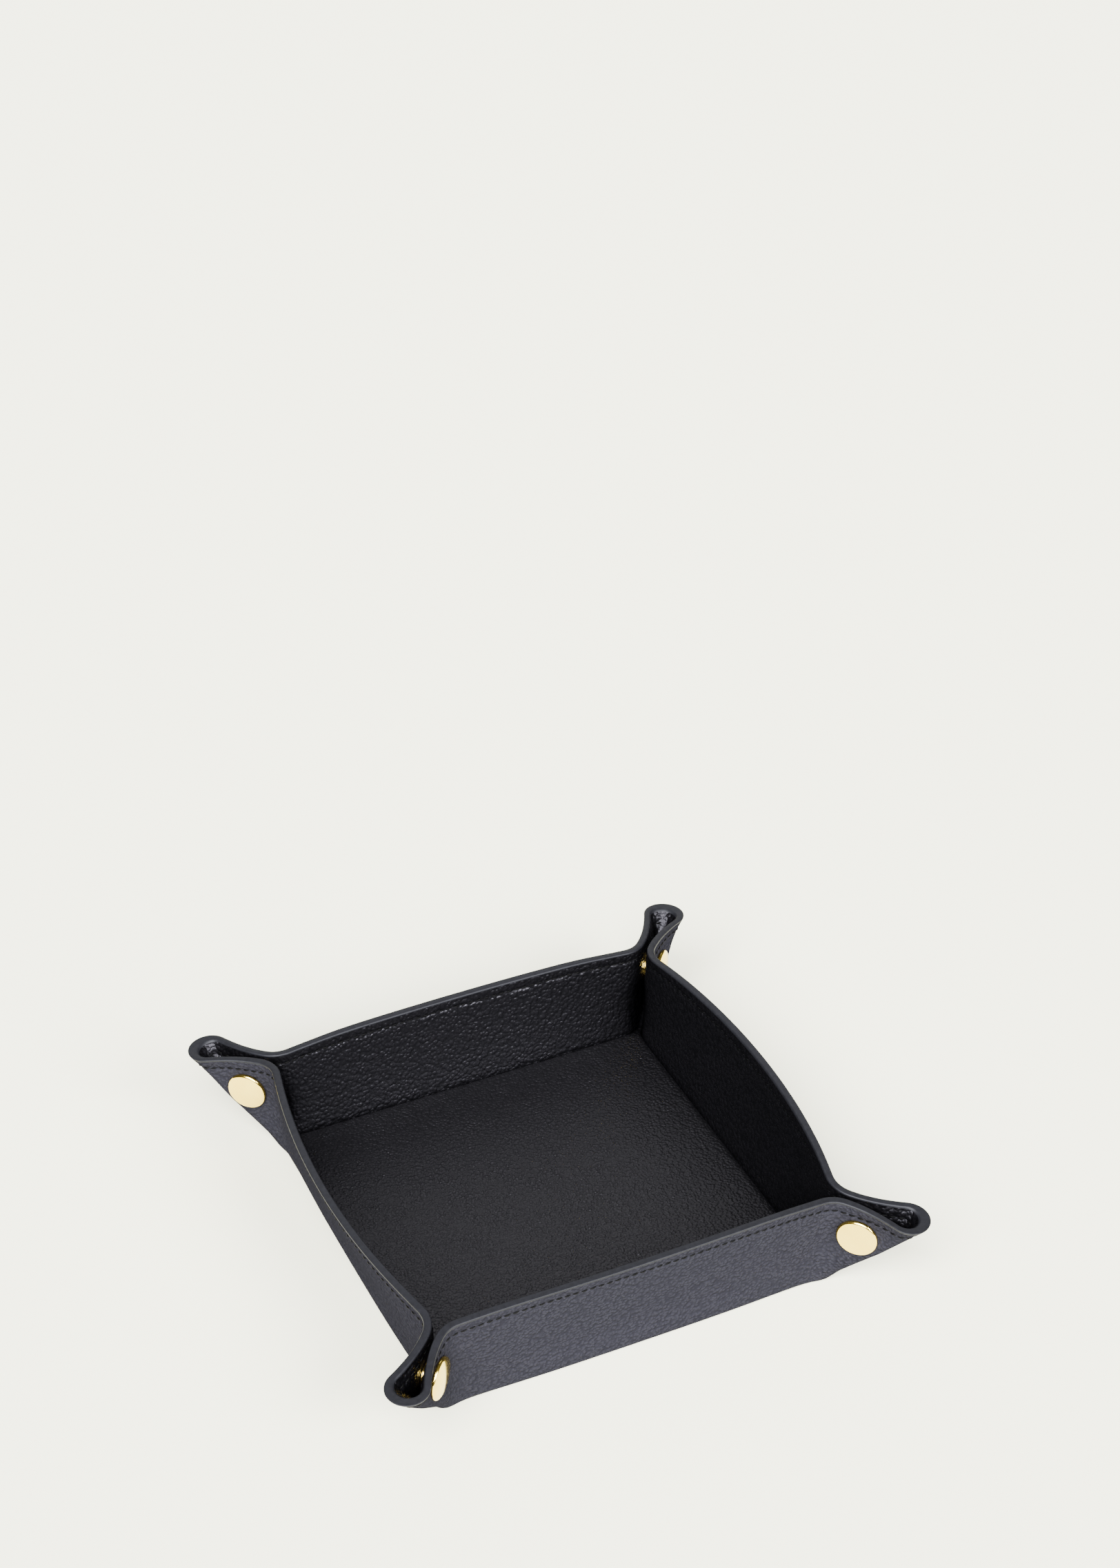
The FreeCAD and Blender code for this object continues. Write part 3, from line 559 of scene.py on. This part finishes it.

# The sheet is laid out in stretches: each is a grid of its own that carries its points at rest, the
# # whole sheet's normals, and a painted shade for the pinch and the ear's loops. Where two stretches meet they share
# their edge.
MM = 0.001
SHEET_FINISHES = (outer_leather, lining_leather, edge_paint, floor_leather)
FINISH = {"outside": 0, "stitch_outside": 0, "sole": 0, "inside": 1, "stitch_inside": 1, "rim": 2,
          "floor": 3, "roll": 3}
# painted shade: how far it reaches aside from the diagonal, past the corner and up the ear, and inside the ear's loops
SHADE_ASIDE, SHADE_PAST, SHADE_LEVEL = (4.5, 1.2), (-7.0, -3.0), (28.0, 16.0)
LOOP_SHADE_PAST, LOOP_PAINTED_SHADE = (6.0, 14.0), 0.4
WELD = 0.000002


def smooth_step(value, start, end):
    t = np.clip((value - start) / (end - start), 0, 1)
    return t * t * (3 - 2 * t)


def painted_shade_of(points):
    """Painted shade for each point, from 0 in the open to 1 deep in the pinch, and part way inside the ear's loops."""
    x, y, z = points.T
    aside = np.abs(np.abs(x) - np.abs(y)) / math.sqrt(2)
    past = (np.abs(x) + np.abs(y)) / math.sqrt(2) - CORNER
    pinch_shade = smooth_step(aside, *SHADE_ASIDE) * smooth_step(past, *SHADE_PAST) * smooth_step(z, *SHADE_LEVEL)
    return np.maximum(pinch_shade, LOOP_PAINTED_SHADE * smooth_step(past, *LOOP_SHADE_PAST))


def leather_piece(name, points, normals, rows):
    """A stretch of the sheet: a grid laid on its points, with the finish of each of its rows."""
    down, across = points.shape[:2]
    bpy.ops.mesh.primitive_grid_add(x_subdivisions=across - 1, y_subdivisions=down - 1, size=2.0)
    piece = bpy.context.object
    piece.name = piece.data.name = name
    mesh = piece.data
    flat = np.empty(len(mesh.vertices) * 3)
    mesh.vertices.foreach_get("co", flat)
    flat = flat.reshape(-1, 3)
    column = np.rint((flat[:, 0] + 1) / 2 * (across - 1)).astype(int)
    row = np.rint((flat[:, 1] + 1) / 2 * (down - 1)).astype(int)
    points, normals = points[row, column], normals[row, column]
    for material in SHEET_FINISHES:
        mesh.materials.append(material)
    for face in mesh.polygons:
        pair = [row[i] for i in face.vertices]
        low, high = rows[min(pair)], rows[max(pair)]
        face.material_index = FINISH[low if low != "rim" else high]
        face.use_smooth = True
    mesh.vertices.foreach_set("co", (points * MM).astype(np.float32).ravel())
    mesh.update()
    middle = mesh.polygons[len(mesh.polygons) // 2]
    if Vector(normals[middle.vertices[0]]).dot(middle.normal) < 0:
        mesh.flip_normals()
    for key, values in (("rest", points * MM), ("facing", normals)):
        kept = mesh.attributes.new(key, "FLOAT_VECTOR", "POINT")
        kept.data.foreach_set("vector", values.astype(np.float32).ravel())
    # the painted shade of each point, which turns the leather's reflection down in the pinch
    kept = mesh.attributes.new("pinch", "FLOAT", "POINT")
    kept.data.foreach_set("value", painted_shade_of(points).astype(np.float32))
    set_facing(piece)
    piece.select_set(False)
    return piece


def set_facing(piece):
    """Shade by the whole sheet's normals, so that its pieces meet without a seam."""
    mesh = piece.data
    facing = np.empty(len(mesh.vertices) * 3, dtype=np.float32)
    mesh.attributes["facing"].data.foreach_get("vector", facing)
    mesh.normals_split_custom_set_from_vertices(facing.reshape(-1, 3).tolist())


def joined(name, pieces):
    """Several stretches of the sheet as one piece, welded where they meet."""
    bpy.ops.object.select_all(action="DESELECT")
    for piece in pieces:
        piece.select_set(True)
    bpy.context.view_layer.objects.active = pieces[0]
    bpy.ops.object.join()
    whole = bpy.context.object
    bpy.ops.object.mode_set(mode="EDIT")
    bpy.ops.mesh.select_all(action="SELECT")
    bpy.ops.mesh.remove_doubles(threshold=WELD)
    bpy.ops.object.mode_set(mode="OBJECT")
    set_facing(whole)
    whole.name = whole.data.name = name
    whole.select_set(False)
    return whole


# Four walls from two halves: front and back are bowed alike, and so are the two sides
SIDES = {
    "front": ("front", np.array([[1, 0, 0], [0, -1, 0], [0, 0, 1]])),
    "back": ("front", np.array([[1, 0, 0], [0, 1, 0], [0, 0, 1]])),
    "right": ("side", np.array([[0, 1, 0], [1, 0, 0], [0, 0, 1]])),
    "left": ("side", np.array([[0, -1, 0], [1, 0, 0], [0, 0, 1]])),
}
LIFT_RUN = 40.0
EAR_LIFT = {(1, 1): 0.085, (-1, 1): 0.05, (1, -1): 0.0, (-1, -1): 0.0}


def half_of(side, sign):
    """Points and normals of one half of a wall, in the tray's frame; sign picks the wall's end."""
    kind, turn = SIDES[side]
    mirror = np.diag([sign, 1, 1])
    points, normals = HALVES[kind]
    points, normals = points @ (turn @ mirror).T, normals @ (turn @ mirror).T
    # the ears at the back stand a little higher than those at the front
    x, y = np.sign(points[FIRST_RIM, -1, :2])
    past = (np.abs(points[..., 0]) + np.abs(points[..., 1])) / math.sqrt(2) - FALL_START
    points[..., 2] *= 1 + EAR_LIFT[x, y] * smooth_step(past, 0.0, LIFT_RUN)
    return points, normals


def stretch(name, half, rows, columns):
    """A stretch of half a wall, from the first to the last of its rows and columns."""
    points, normals = half
    window = np.s_[rows[0]:rows[1] + 1, columns[0]:columns[1] + 1]
    return leather_piece(name, points[window], normals[window], ROWS[rows[0]:rows[1] + 1])


def full_stretch(name, side, rows, last):
    """A stretch of a whole wall: one half, then its mirror image, joined at the wall's middle."""
    window = slice(rows[0], rows[1] + 1)
    near, far = half_of(side, -1), half_of(side, 1)
    points, normals = (np.concatenate([a[window, last::-1], b[window, 1:last + 1]], axis=1)
                       for a, b in zip(near, far))
    return leather_piece(name, points, normals, ROWS[window])


# Base: the floor of the tray, lining over a stiffening board over the outer leather.
# The lining rolls down into a pressed crease all round; the board is sealed between the sheets.
FLOOR_EDGE = 7
SOLE_EDGE = FIRST_SOLE + 6
HEEL_EDGE = SOLE_EDGE - 3
stretches = []
for side in SIDES:
    stretches.append(full_stretch(f"base_floor_{side}", side, (0, FLOOR_EDGE), LAST_COLUMN))
    stretches.append(full_stretch(f"base_sole_{side}", side, (SOLE_EDGE, len(ROWS) - 1), LAST_COLUMN))
for side in SIDES:
    for sign in (-1, 1):
        half, columns = half_of(side, sign), (EAR_COLUMN, LAST_COLUMN)
        stretches.append(stretch(f"base_corner_{side}{sign}", half, (FLOOR_EDGE, LAST_ROLL), columns))
        stretches.append(stretch(f"base_heel_{side}{sign}", half, (HEEL_EDGE, SOLE_EDGE), columns))
base = joined("base", stretches)
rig.ride(base, "base")
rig.replaces(base, "base_leather", "base_lining", "base_board")
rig.slot(base, "leather")

# Base ply: the outer leather's own thickness under the board, glued in between the floor and the sole.
# It is hidden while the tray stands and shows at the corners when the tray lies open.
PLY_HALF, PLY_LEVEL, PLY_THICKNESS = 62.45, 0.6, 0.35
PLY_CORNER, PLY_SEGMENTS = 1.5, 6
bpy.ops.mesh.primitive_plane_add(size=2 * PLY_HALF * MM)
ply = bpy.context.object
ply.name = ply.data.name = "base_ply"
bpy.ops.object.mode_set(mode="EDIT")
bpy.ops.mesh.select_all(action="SELECT")
bpy.ops.mesh.bevel(offset=PLY_CORNER * MM, segments=PLY_SEGMENTS, affect="VERTICES")
bpy.ops.mesh.select_all(action="SELECT")
bpy.ops.transform.translate(value=(0, 0, PLY_LEVEL * MM))
bpy.ops.mesh.extrude_region_move(TRANSFORM_OT_translate={"value": (0, 0, PLY_THICKNESS * MM)})
bpy.ops.mesh.select_all(action="SELECT")
bpy.ops.mesh.normals_make_consistent(inside=False)
bpy.ops.object.mode_set(mode="OBJECT")
ply.data.materials.append(lining_leather)
ply.select_set(False)
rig.ride(ply, "base")
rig.slot(ply, "leather")

# Walls: both sheets folded up from the crease, bowed outwards between the corners, stitched at the rim.
# Each wall bends out of the base along its crease, so its lowest strip follows both.
CREASE_FROM, CREASE_TO = (58.0, 2.0), (62.5, 6.5)
OUTWARD = {"front": (0, -1), "back": (0, 1), "right": (1, 0), "left": (-1, 0)}


def bend_at_crease(piece, side):
    x, y = OUTWARD[side]
    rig.blend(piece, "base", f"wall_{side}",
             start=(x * CREASE_FROM[0] * MM, y * CREASE_FROM[0] * MM, CREASE_FROM[1] * MM),
             end=(x * CREASE_TO[0] * MM, y * CREASE_TO[0] * MM, CREASE_TO[1] * MM))


for side in SIDES:
    wall = full_stretch(f"wall_{side}", side, (FLOOR_EDGE, SOLE_EDGE), EAR_COLUMN)
    bend_at_crease(wall, side)
    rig.replaces(wall, f"wall_leather_{side}", f"wall_lining_{side}")
    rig.slot(wall, "leather")

# Ears: where two walls meet, the sheet is pinched outwards. Each ear has two flat sides that the
# snap holds together, and a rounded tip whose two halves meet on the tray's diagonal. The foot of
# each side still belongs to the wall's fold, so it is a strip of its own that bends with the crease.
CORNERS = {"fr": (1, -1), "fl": (-1, -1), "br": (1, 1), "bl": (-1, 1)}
ENDS = {
    ("fr", "a"): ("front", 1), ("fr", "b"): ("right", -1),
    ("fl", "a"): ("front", -1), ("fl", "b"): ("left", -1),
    ("br", "a"): ("back", 1), ("br", "b"): ("right", 1),
    ("bl", "a"): ("back", -1), ("bl", "b"): ("left", 1),
}
PINCH_EASE = 4.0
TIP_END, TIP_LEAN = -2.0, 1.0
HOLD_COLUMN = EAR_COLUMN + 28
LOW_INSIDE, LOW_OUTSIDE = FIRST_INSIDE + 5, FIRST_SOLE - 6


def across_fold(corner, letter, tilt, begin, stop, lean=0.0):
    """Start and end of a bend across a fold that leans outwards by tilt; by lean the outer face is later."""
    x, y = CORNERS[corner]
    hand = lean if letter == "a" else -lean
    square = Vector((x * (math.cos(tilt) + hand) / math.sqrt(2),
                     y * (math.cos(tilt) - hand) / math.sqrt(2), -math.sin(tilt)))
    square /= square.length_squared
    return {"start": square * begin * MM, "end": square * stop * MM}


def bend_at_pinch(piece, corner, letter, side):
    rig.blend(piece, f"wall_{side}", f"ear_{corner}_{letter}",
             **across_fold(corner, letter, PINCH_TILT, PINCH_LINE - PINCH_EASE, PINCH_LINE + PINCH_EASE))


def bend_at_tip(piece, corner, letter):
    tilt = math.atan(math.tan(TIP_TILT) / (1 + EAR_LIFT[CORNERS[corner]]))
    origin = CORNER * math.cos(tilt)
    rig.blend(piece, f"ear_{corner}_{letter}", f"tip_{corner}_{letter}",
             **across_fold(corner, letter, tilt, origin + TIP_START, origin + TIP_END, lean=TIP_LEAN))


for (corner, letter), (side, sign) in ENDS.items():
    half, end = half_of(side, sign), f"{corner}_{letter}"
    inside, outside = (LAST_ROLL, LOW_INSIDE), (LOW_OUTSIDE, HEEL_EDGE)
    near, far = (EAR_COLUMN, HOLD_COLUMN), (HOLD_COLUMN, TIP_COLUMN)
    foot = joined(f"foot_{end}", [stretch("in", half, inside, near), stretch("out", half, outside, near)])
    bend_at_crease(foot, side)
    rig.slot(foot, "leather")
    ear = joined(f"ear_{end}", [stretch("up", half, (LOW_INSIDE, LOW_OUTSIDE), (EAR_COLUMN, TIP_COLUMN)),
                                stretch("in", half, inside, far), stretch("out", half, outside, far)])
    bend_at_pinch(ear, corner, letter, side)
    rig.replaces(ear, f"ear_leather_{end}", f"ear_lining_{end}")
    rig.slot(ear, "leather")
    tip = stretch(f"tip_{end}", half, (LAST_ROLL, HEEL_EDGE), (TIP_COLUMN, LAST_COLUMN))
    bend_at_tip(tip, corner, letter)
    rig.replaces(tip, f"ear_tip_{end}")
    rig.slot(tip, "leather")

# Corner plies: the sheet's own thickness at each corner, hidden inside the fold while the tray stands.
# A tongue on the base and a lap on each wall's end close the corner when the ears turn away from it.
PLY_DEPTHS, PLY_FOOT = (0.4, 0.6), 0.85
TONGUE_COLUMN, TONGUE_ROWS = HOLD_COLUMN - 8, 4
LAP_COLUMN, LAP_ROWS = TIP_COLUMN + 6, 7
FULL_COLUMN = HOLD_COLUMN + 4
tongue_height = smooth_step(np.arange(TONGUE_COLUMN, LAST_COLUMN + 1), TONGUE_COLUMN, FULL_COLUMN)[:, None]


def corner_ply(side, sign, last, steps, tall):
    """Points and normals up the ply's inner face and down its outer face, as far as a last column."""
    points, normals = (values[:, TONGUE_COLUMN:last + 1] for values in half_of(side, sign))
    inner = [LAST_ROLL] + [FIRST_INSIDE + step for step in range(steps)]
    outer = [FIRST_SOLE + 2] + [FIRST_SOLE - 1 - step for step in range(steps)]
    foot = points[inner[0]] * (1 - PLY_FOOT) + points[outer[0]] * PLY_FOOT
    rows, facing = [], []
    for depth, order, face in zip(PLY_DEPTHS, (1, -1), (inner, outer)):
        levels = [foot] + [foot + tall * (points[i] * (1 - depth) + points[j] * depth - foot)
                           for i, j in zip(inner[1:], outer[1:])]
        rows += levels[::order]
        facing += [normals[row] for row in face][::order]
    return np.array(rows), np.array(facing)


for corner in CORNERS:
    halves = [corner_ply(*ENDS[corner, letter], LAST_COLUMN, TONGUE_ROWS, tongue_height) for letter in "ab"]
    points, normals = (np.concatenate([near, far[:, -2::-1]], axis=1) for near, far in zip(*halves))
    tongue = leather_piece(f"tongue_{corner}", points, normals, ["inside"] * len(points))
    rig.ride(tongue, "base")
    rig.slot(tongue, "leather")
for (corner, letter), (side, sign) in ENDS.items():
    points, normals = corner_ply(side, sign, LAP_COLUMN, LAP_ROWS, 1.0)
    lap = leather_piece(f"lap_{corner}_{letter}", points, normals, ["inside"] * len(points))
    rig.ride(lap, f"wall_{side}")
    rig.slot(lap, "leather")

# Seam thread: one lock-stitched line of black waxed thread below the rim, seen on both faces.
# Each stitch dips into its two holes and lies a little aslant in the groove it has pulled.
STITCH_PITCH, STITCH_LENGTH, THREAD = 2.6, 2.4, 0.28
STITCH_RISE, STITCH_DIP = 0.13, 0.36
SLANT = math.radians(9.0)
LAST_GAP = 0.4 * STITCH_PITCH
NEARBY = 0.5
thread, tree, shader = new_finish("seam_thread")
strand = add_node(tree, "ShaderNodeTexNoise", Scale=3200.0, Detail=2.0)
where = add_node(tree, "ShaderNodeTexCoord")
tree.links.new(where.outputs["Object"], strand.inputs["Vector"])
shade = ramp(tree, ((0.3, (0.0003, 0.0003, 0.0004)), (0.75, (0.0009, 0.0009, 0.0011))))
tree.links.new(strand.outputs["Fac"], shade.inputs["Fac"])
tree.links.new(shade.outputs["Color"], shader.inputs["Base Color"])
twist = add_node(tree, "ShaderNodeBump", Strength=0.6, Distance=0.00005)
tree.links.new(strand.outputs["Fac"], twist.inputs["Height"])
tree.links.new(twist.outputs["Normal"], shader.inputs["Normal"])
shader.inputs["Roughness"].default_value = 0.6
shader.inputs["Specular IOR Level"].default_value = 0.06
bpy.ops.mesh.primitive_uv_sphere_add(segments=8, ring_count=6, radius=1.0)
pattern = bpy.context.object
bpy.ops.object.mode_set(mode="EDIT")
bpy.ops.mesh.select_all(action="SELECT")
bpy.ops.transform.rotate(value=math.pi / 2, orient_axis="Y", center_override=(0, 0, 0))
bpy.ops.transform.resize(value=(STITCH_LENGTH / 2, THREAD, THREAD))
bpy.ops.object.mode_set(mode="OBJECT")
bead = np.array([v.co for v in pattern.data.vertices])
bead[:, 2] += STITCH_RISE - STITCH_DIP * (bead[:, 0] / (STITCH_LENGTH / 2)) ** 2
bead_faces = [list(f.vertices) for f in pattern.data.polygons]
bpy.data.objects.remove(pattern)


def stitches(name, places):
    """One object of stitches, each laid on its own place: point, along, normal."""
    points, faces = [], []
    for point, along, normal in places:
        across = np.cross(normal, along)
        slanted = along * math.cos(SLANT) + across * math.sin(SLANT)
        square = across * math.cos(SLANT) - along * math.sin(SLANT)
        faces += [[i + len(points) * len(bead) for i in face] for face in bead_faces]
        points.append(point + bead @ np.array([slanted, square, normal]))
    mesh = bpy.data.meshes.new(name)
    mesh.from_pydata((np.concatenate(points) * MM).tolist(), [], faces)
    mesh.shade_smooth()
    mesh.materials.append(thread)
    piece = bpy.data.objects.new(name, mesh)
    bpy.context.collection.objects.link(piece)
    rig.slot(piece, "thread")
    return piece


def along_line(line, run, at):
    """The values of a row of the sheet at a distance along it."""
    return np.array([np.interp(at, run, line[:, i]) for i in range(3)])


def stitch_places(side, sign):
    """The stitches of half a wall on both faces, by the zone of the sheet that carries them."""
    points, normals = half_of(side, sign)
    found = {0: [], 1: [], 2: []}
    for row, hand in ((ROWS.index("stitch_inside"), 1), (ROWS.index("stitch_outside"), -1)):
        line, facing = points[row], normals[row]
        run = np.concatenate([[0], np.cumsum(np.linalg.norm(np.diff(line, axis=0), axis=1))])
        at = STITCH_PITCH / 2
        while at < run[-1] - LAST_GAP:
            along = along_line(line, run, at + NEARBY) - along_line(line, run, at - NEARBY)
            along = along / np.linalg.norm(along) * sign * hand
            normal = along_line(facing, run, at)
            normal -= along * (normal @ along)
            column = np.interp(at, run, np.arange(len(run)))
            zone = 0 if column < EAR_COLUMN else 1 if column < TIP_COLUMN else 2
            found[zone].append((along_line(line, run, at), along, normal / np.linalg.norm(normal)))
            at += STITCH_PITCH
    return found


for side in SIDES:
    near, far = stitch_places(side, -1), stitch_places(side, 1)
    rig.ride(stitches(f"seam_wall_{side}", near[0] + far[0]), f"wall_{side}")
for (corner, letter), (side, sign) in ENDS.items():
    found = stitch_places(side, sign)
    bend_at_pinch(stitches(f"seam_ear_{corner}_{letter}", found[1]), corner, letter, side)
    if found[2]:
        bend_at_tip(stitches(f"seam_tip_{corner}_{letter}", found[2]), corner, letter)

# Snaps: a gold-plated brass cap on each side of an ear, turned with a shallow dome and a rolled rim,
# its post clenched through the leather into the socket or the stud between the ear's two sides.
gold, tree, shader = new_finish("gold_plate")
where = add_node(tree, "ShaderNodeTexCoord")
haze = add_node(tree, "ShaderNodeTexNoise", Scale=260.0, Detail=4.0)
tree.links.new(where.outputs["Object"], haze.inputs["Vector"])
tint = ramp(tree, ((0.3, (0.95, 0.68, 0.13)), (0.7, (0.99, 0.73, 0.16))))
tree.links.new(haze.outputs["Fac"], tint.inputs["Fac"])
tree.links.new(tint.outputs["Color"], shader.inputs["Base Color"])
polish = add_node(tree, "ShaderNodeMapRange")
polish.inputs["To Min"].default_value = 0.09
polish.inputs["To Max"].default_value = 0.18
tree.links.new(haze.outputs["Fac"], polish.inputs["Value"])
tree.links.new(polish.outputs["Result"], shader.inputs["Roughness"])
shader.inputs["Metallic"].default_value = 1.0

SNAP_U, SNAP_Z = CORNER + 8.2, MID
SEAT = PINCH_HALF + SHEET
CAP_PROFILE = ((5.4, 0.0), (6.0, 0.08), (6.22, 0.3), (6.25, 0.62), (6.19, 0.92), (6.0, 1.17), (5.7, 1.34),
               (5.3, 1.45), (4.6, 1.58), (3.6, 1.72), (2.4, 1.84), (1.2, 1.91), (0.4, 1.93))
CAP_SEGMENTS = 96


def on_diagonal(corner, u, z):
    x, y = CORNERS[corner]
    return (x * u / math.sqrt(2) * MM, y * u / math.sqrt(2) * MM, z * MM)


def turned_cap(name):
    """A cap on the Z axis, its rim drawn up ring by ring from the leather to the middle of the dome."""
    bpy.ops.mesh.primitive_circle_add(vertices=CAP_SEGMENTS, radius=CAP_PROFILE[0][0] * MM,
                                      fill_type="NOTHING")
    cap = bpy.context.object
    cap.name = cap.data.name = name
    bpy.ops.object.mode_set(mode="EDIT")
    bpy.ops.mesh.select_all(action="SELECT")
    for (r0, z0), (r1, z1) in zip(CAP_PROFILE, CAP_PROFILE[1:]):
        bpy.ops.mesh.extrude_region_move(TRANSFORM_OT_translate={"value": (0, 0, (z1 - z0) * MM)})
        bpy.ops.transform.resize(value=(r1 / r0, r1 / r0, 1.0))
    bpy.ops.mesh.edge_face_add()
    bpy.ops.mesh.select_all(action="SELECT")
    bpy.ops.mesh.normals_make_consistent(inside=False)
    bpy.ops.object.mode_set(mode="OBJECT")
    bpy.ops.object.shade_smooth()
    cap.data.materials.append(gold)
    cap.select_set(False)
    return cap


for corner, letter in ENDS:
    x, y = CORNERS[corner]
    node = f"snap_{'cap' if letter == 'a' else 'post'}_{corner}"
    away = Vector((-x, y, 0)).normalized() if letter == "a" else Vector((x, -y, 0)).normalized()
    cap = turned_cap(f"cap_{corner}_{letter}")
    seat = Vector(on_diagonal(corner, SNAP_U, SNAP_Z)) + away * SEAT * MM
    cap.data.transform(Matrix.Translation(seat) @ away.to_track_quat("Z", "Y").to_matrix().to_4x4())
    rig.ride(cap, f"ear_{corner}_{letter}")
    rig.replaces(cap, node)
    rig.slot(cap, "gold_cap")

# Snap works: socket, ring spring and stud of the same plated brass, riveted on between the ear's sides.
# They are the CAD's own turned shapes and only get their finish here.
# the works' gold is painted a little darker than the caps', a painted shade for the narrow gap between the ear's sides
works_gold, tree, shader = new_finish("works_gold")
shader.inputs["Base Color"].default_value = (0.88, 0.62, 0.15, 1.0)
shader.inputs["Metallic"].default_value = 1.0
shader.inputs["Roughness"].default_value = 0.12
for node in frame["nodes"]:
    if node.startswith(("snap_socket", "snap_stud", "snap_ring")):
        works = bpy.data.objects[node]
        works.data.materials.clear()
        works.data.materials.append(works_gold)

# Studio: a pale warm floor that fills the picture, three broad soft lights and a faint even one all
# round, and a camera that stands where the photo was taken.
FLOOR_SIZE, FLOOR_DROP = 6.0, 0.0002
studio_floor, tree, shader = new_finish("studio_floor")
shader.inputs["Base Color"].default_value = (0.965, 0.962, 0.745, 1.0)
shader.inputs["Roughness"].default_value = 0.9
bpy.ops.mesh.primitive_plane_add(size=FLOOR_SIZE, location=(0, 0, -FLOOR_DROP))
floor = bpy.context.object
floor.name = "floor"
floor.data.materials.append(studio_floor)
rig.stage(floor)

world = bpy.data.worlds.new("studio")
bpy.context.scene.world = world
world.use_nodes = True
backdrop = world.node_tree.nodes["Background"]
backdrop.inputs["Color"].default_value = (1.0, 1.0, 0.98, 1.0)
backdrop.inputs["Strength"].default_value = 0.12


def soft_light(name, toward, spread, strength):
    lamp = bpy.data.lights.new(name, "SUN")
    lamp.angle = math.radians(spread)
    lamp.energy = strength
    light = bpy.data.objects.new(name, lamp)
    light.location = Vector(toward) * 2
    light.rotation_euler = Vector(toward).to_track_quat("Z", "Y").to_euler()
    bpy.context.collection.objects.link(light)


soft_light("key_light", toward=(-0.55, -0.65, 0.8), spread=45.0, strength=18.0)
soft_light("front_light", toward=(0.35, -0.85, 0.55), spread=30.0, strength=8.0)
soft_light("back_light", toward=(0.3, 0.75, 0.6), spread=50.0, strength=1.0)

PHOTO_SIZE = (1624, 2274)
FOCAL, AZIMUTH, PITCH = 4525.73, math.radians(-25.23), math.radians(34.79)
ORIGIN_AT, DEPTH = (793.99, 1751.48), 945.38
SENSOR = 36.0
view = bpy.data.cameras.new("photo_view")
view.sensor_width = view.sensor_height = SENSOR
view.sensor_fit = "AUTO"
view.lens = FOCAL / PHOTO_SIZE[1] * SENSOR
view.clip_start = 0.01
camera = bpy.data.objects.new("photo_view", view)
camera.rotation_euler = (math.pi / 2 - PITCH, 0.0, AZIMUTH)
turn = camera.rotation_euler.to_matrix()
offset = Vector(((ORIGIN_AT[0] - PHOTO_SIZE[0] / 2) / FOCAL * DEPTH,
                 -(ORIGIN_AT[1] - PHOTO_SIZE[1] / 2) / FOCAL * DEPTH, -DEPTH))
camera.location = -(turn @ offset) * MM
bpy.context.collection.objects.link(camera)
bpy.context.scene.camera = camera

with open("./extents.json", "w") as sizes:
    json.dump({"cad": [list(map(float, c)) for c in cad_box], "visual": [list(map(float, c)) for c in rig.bounds()]}, sizes)
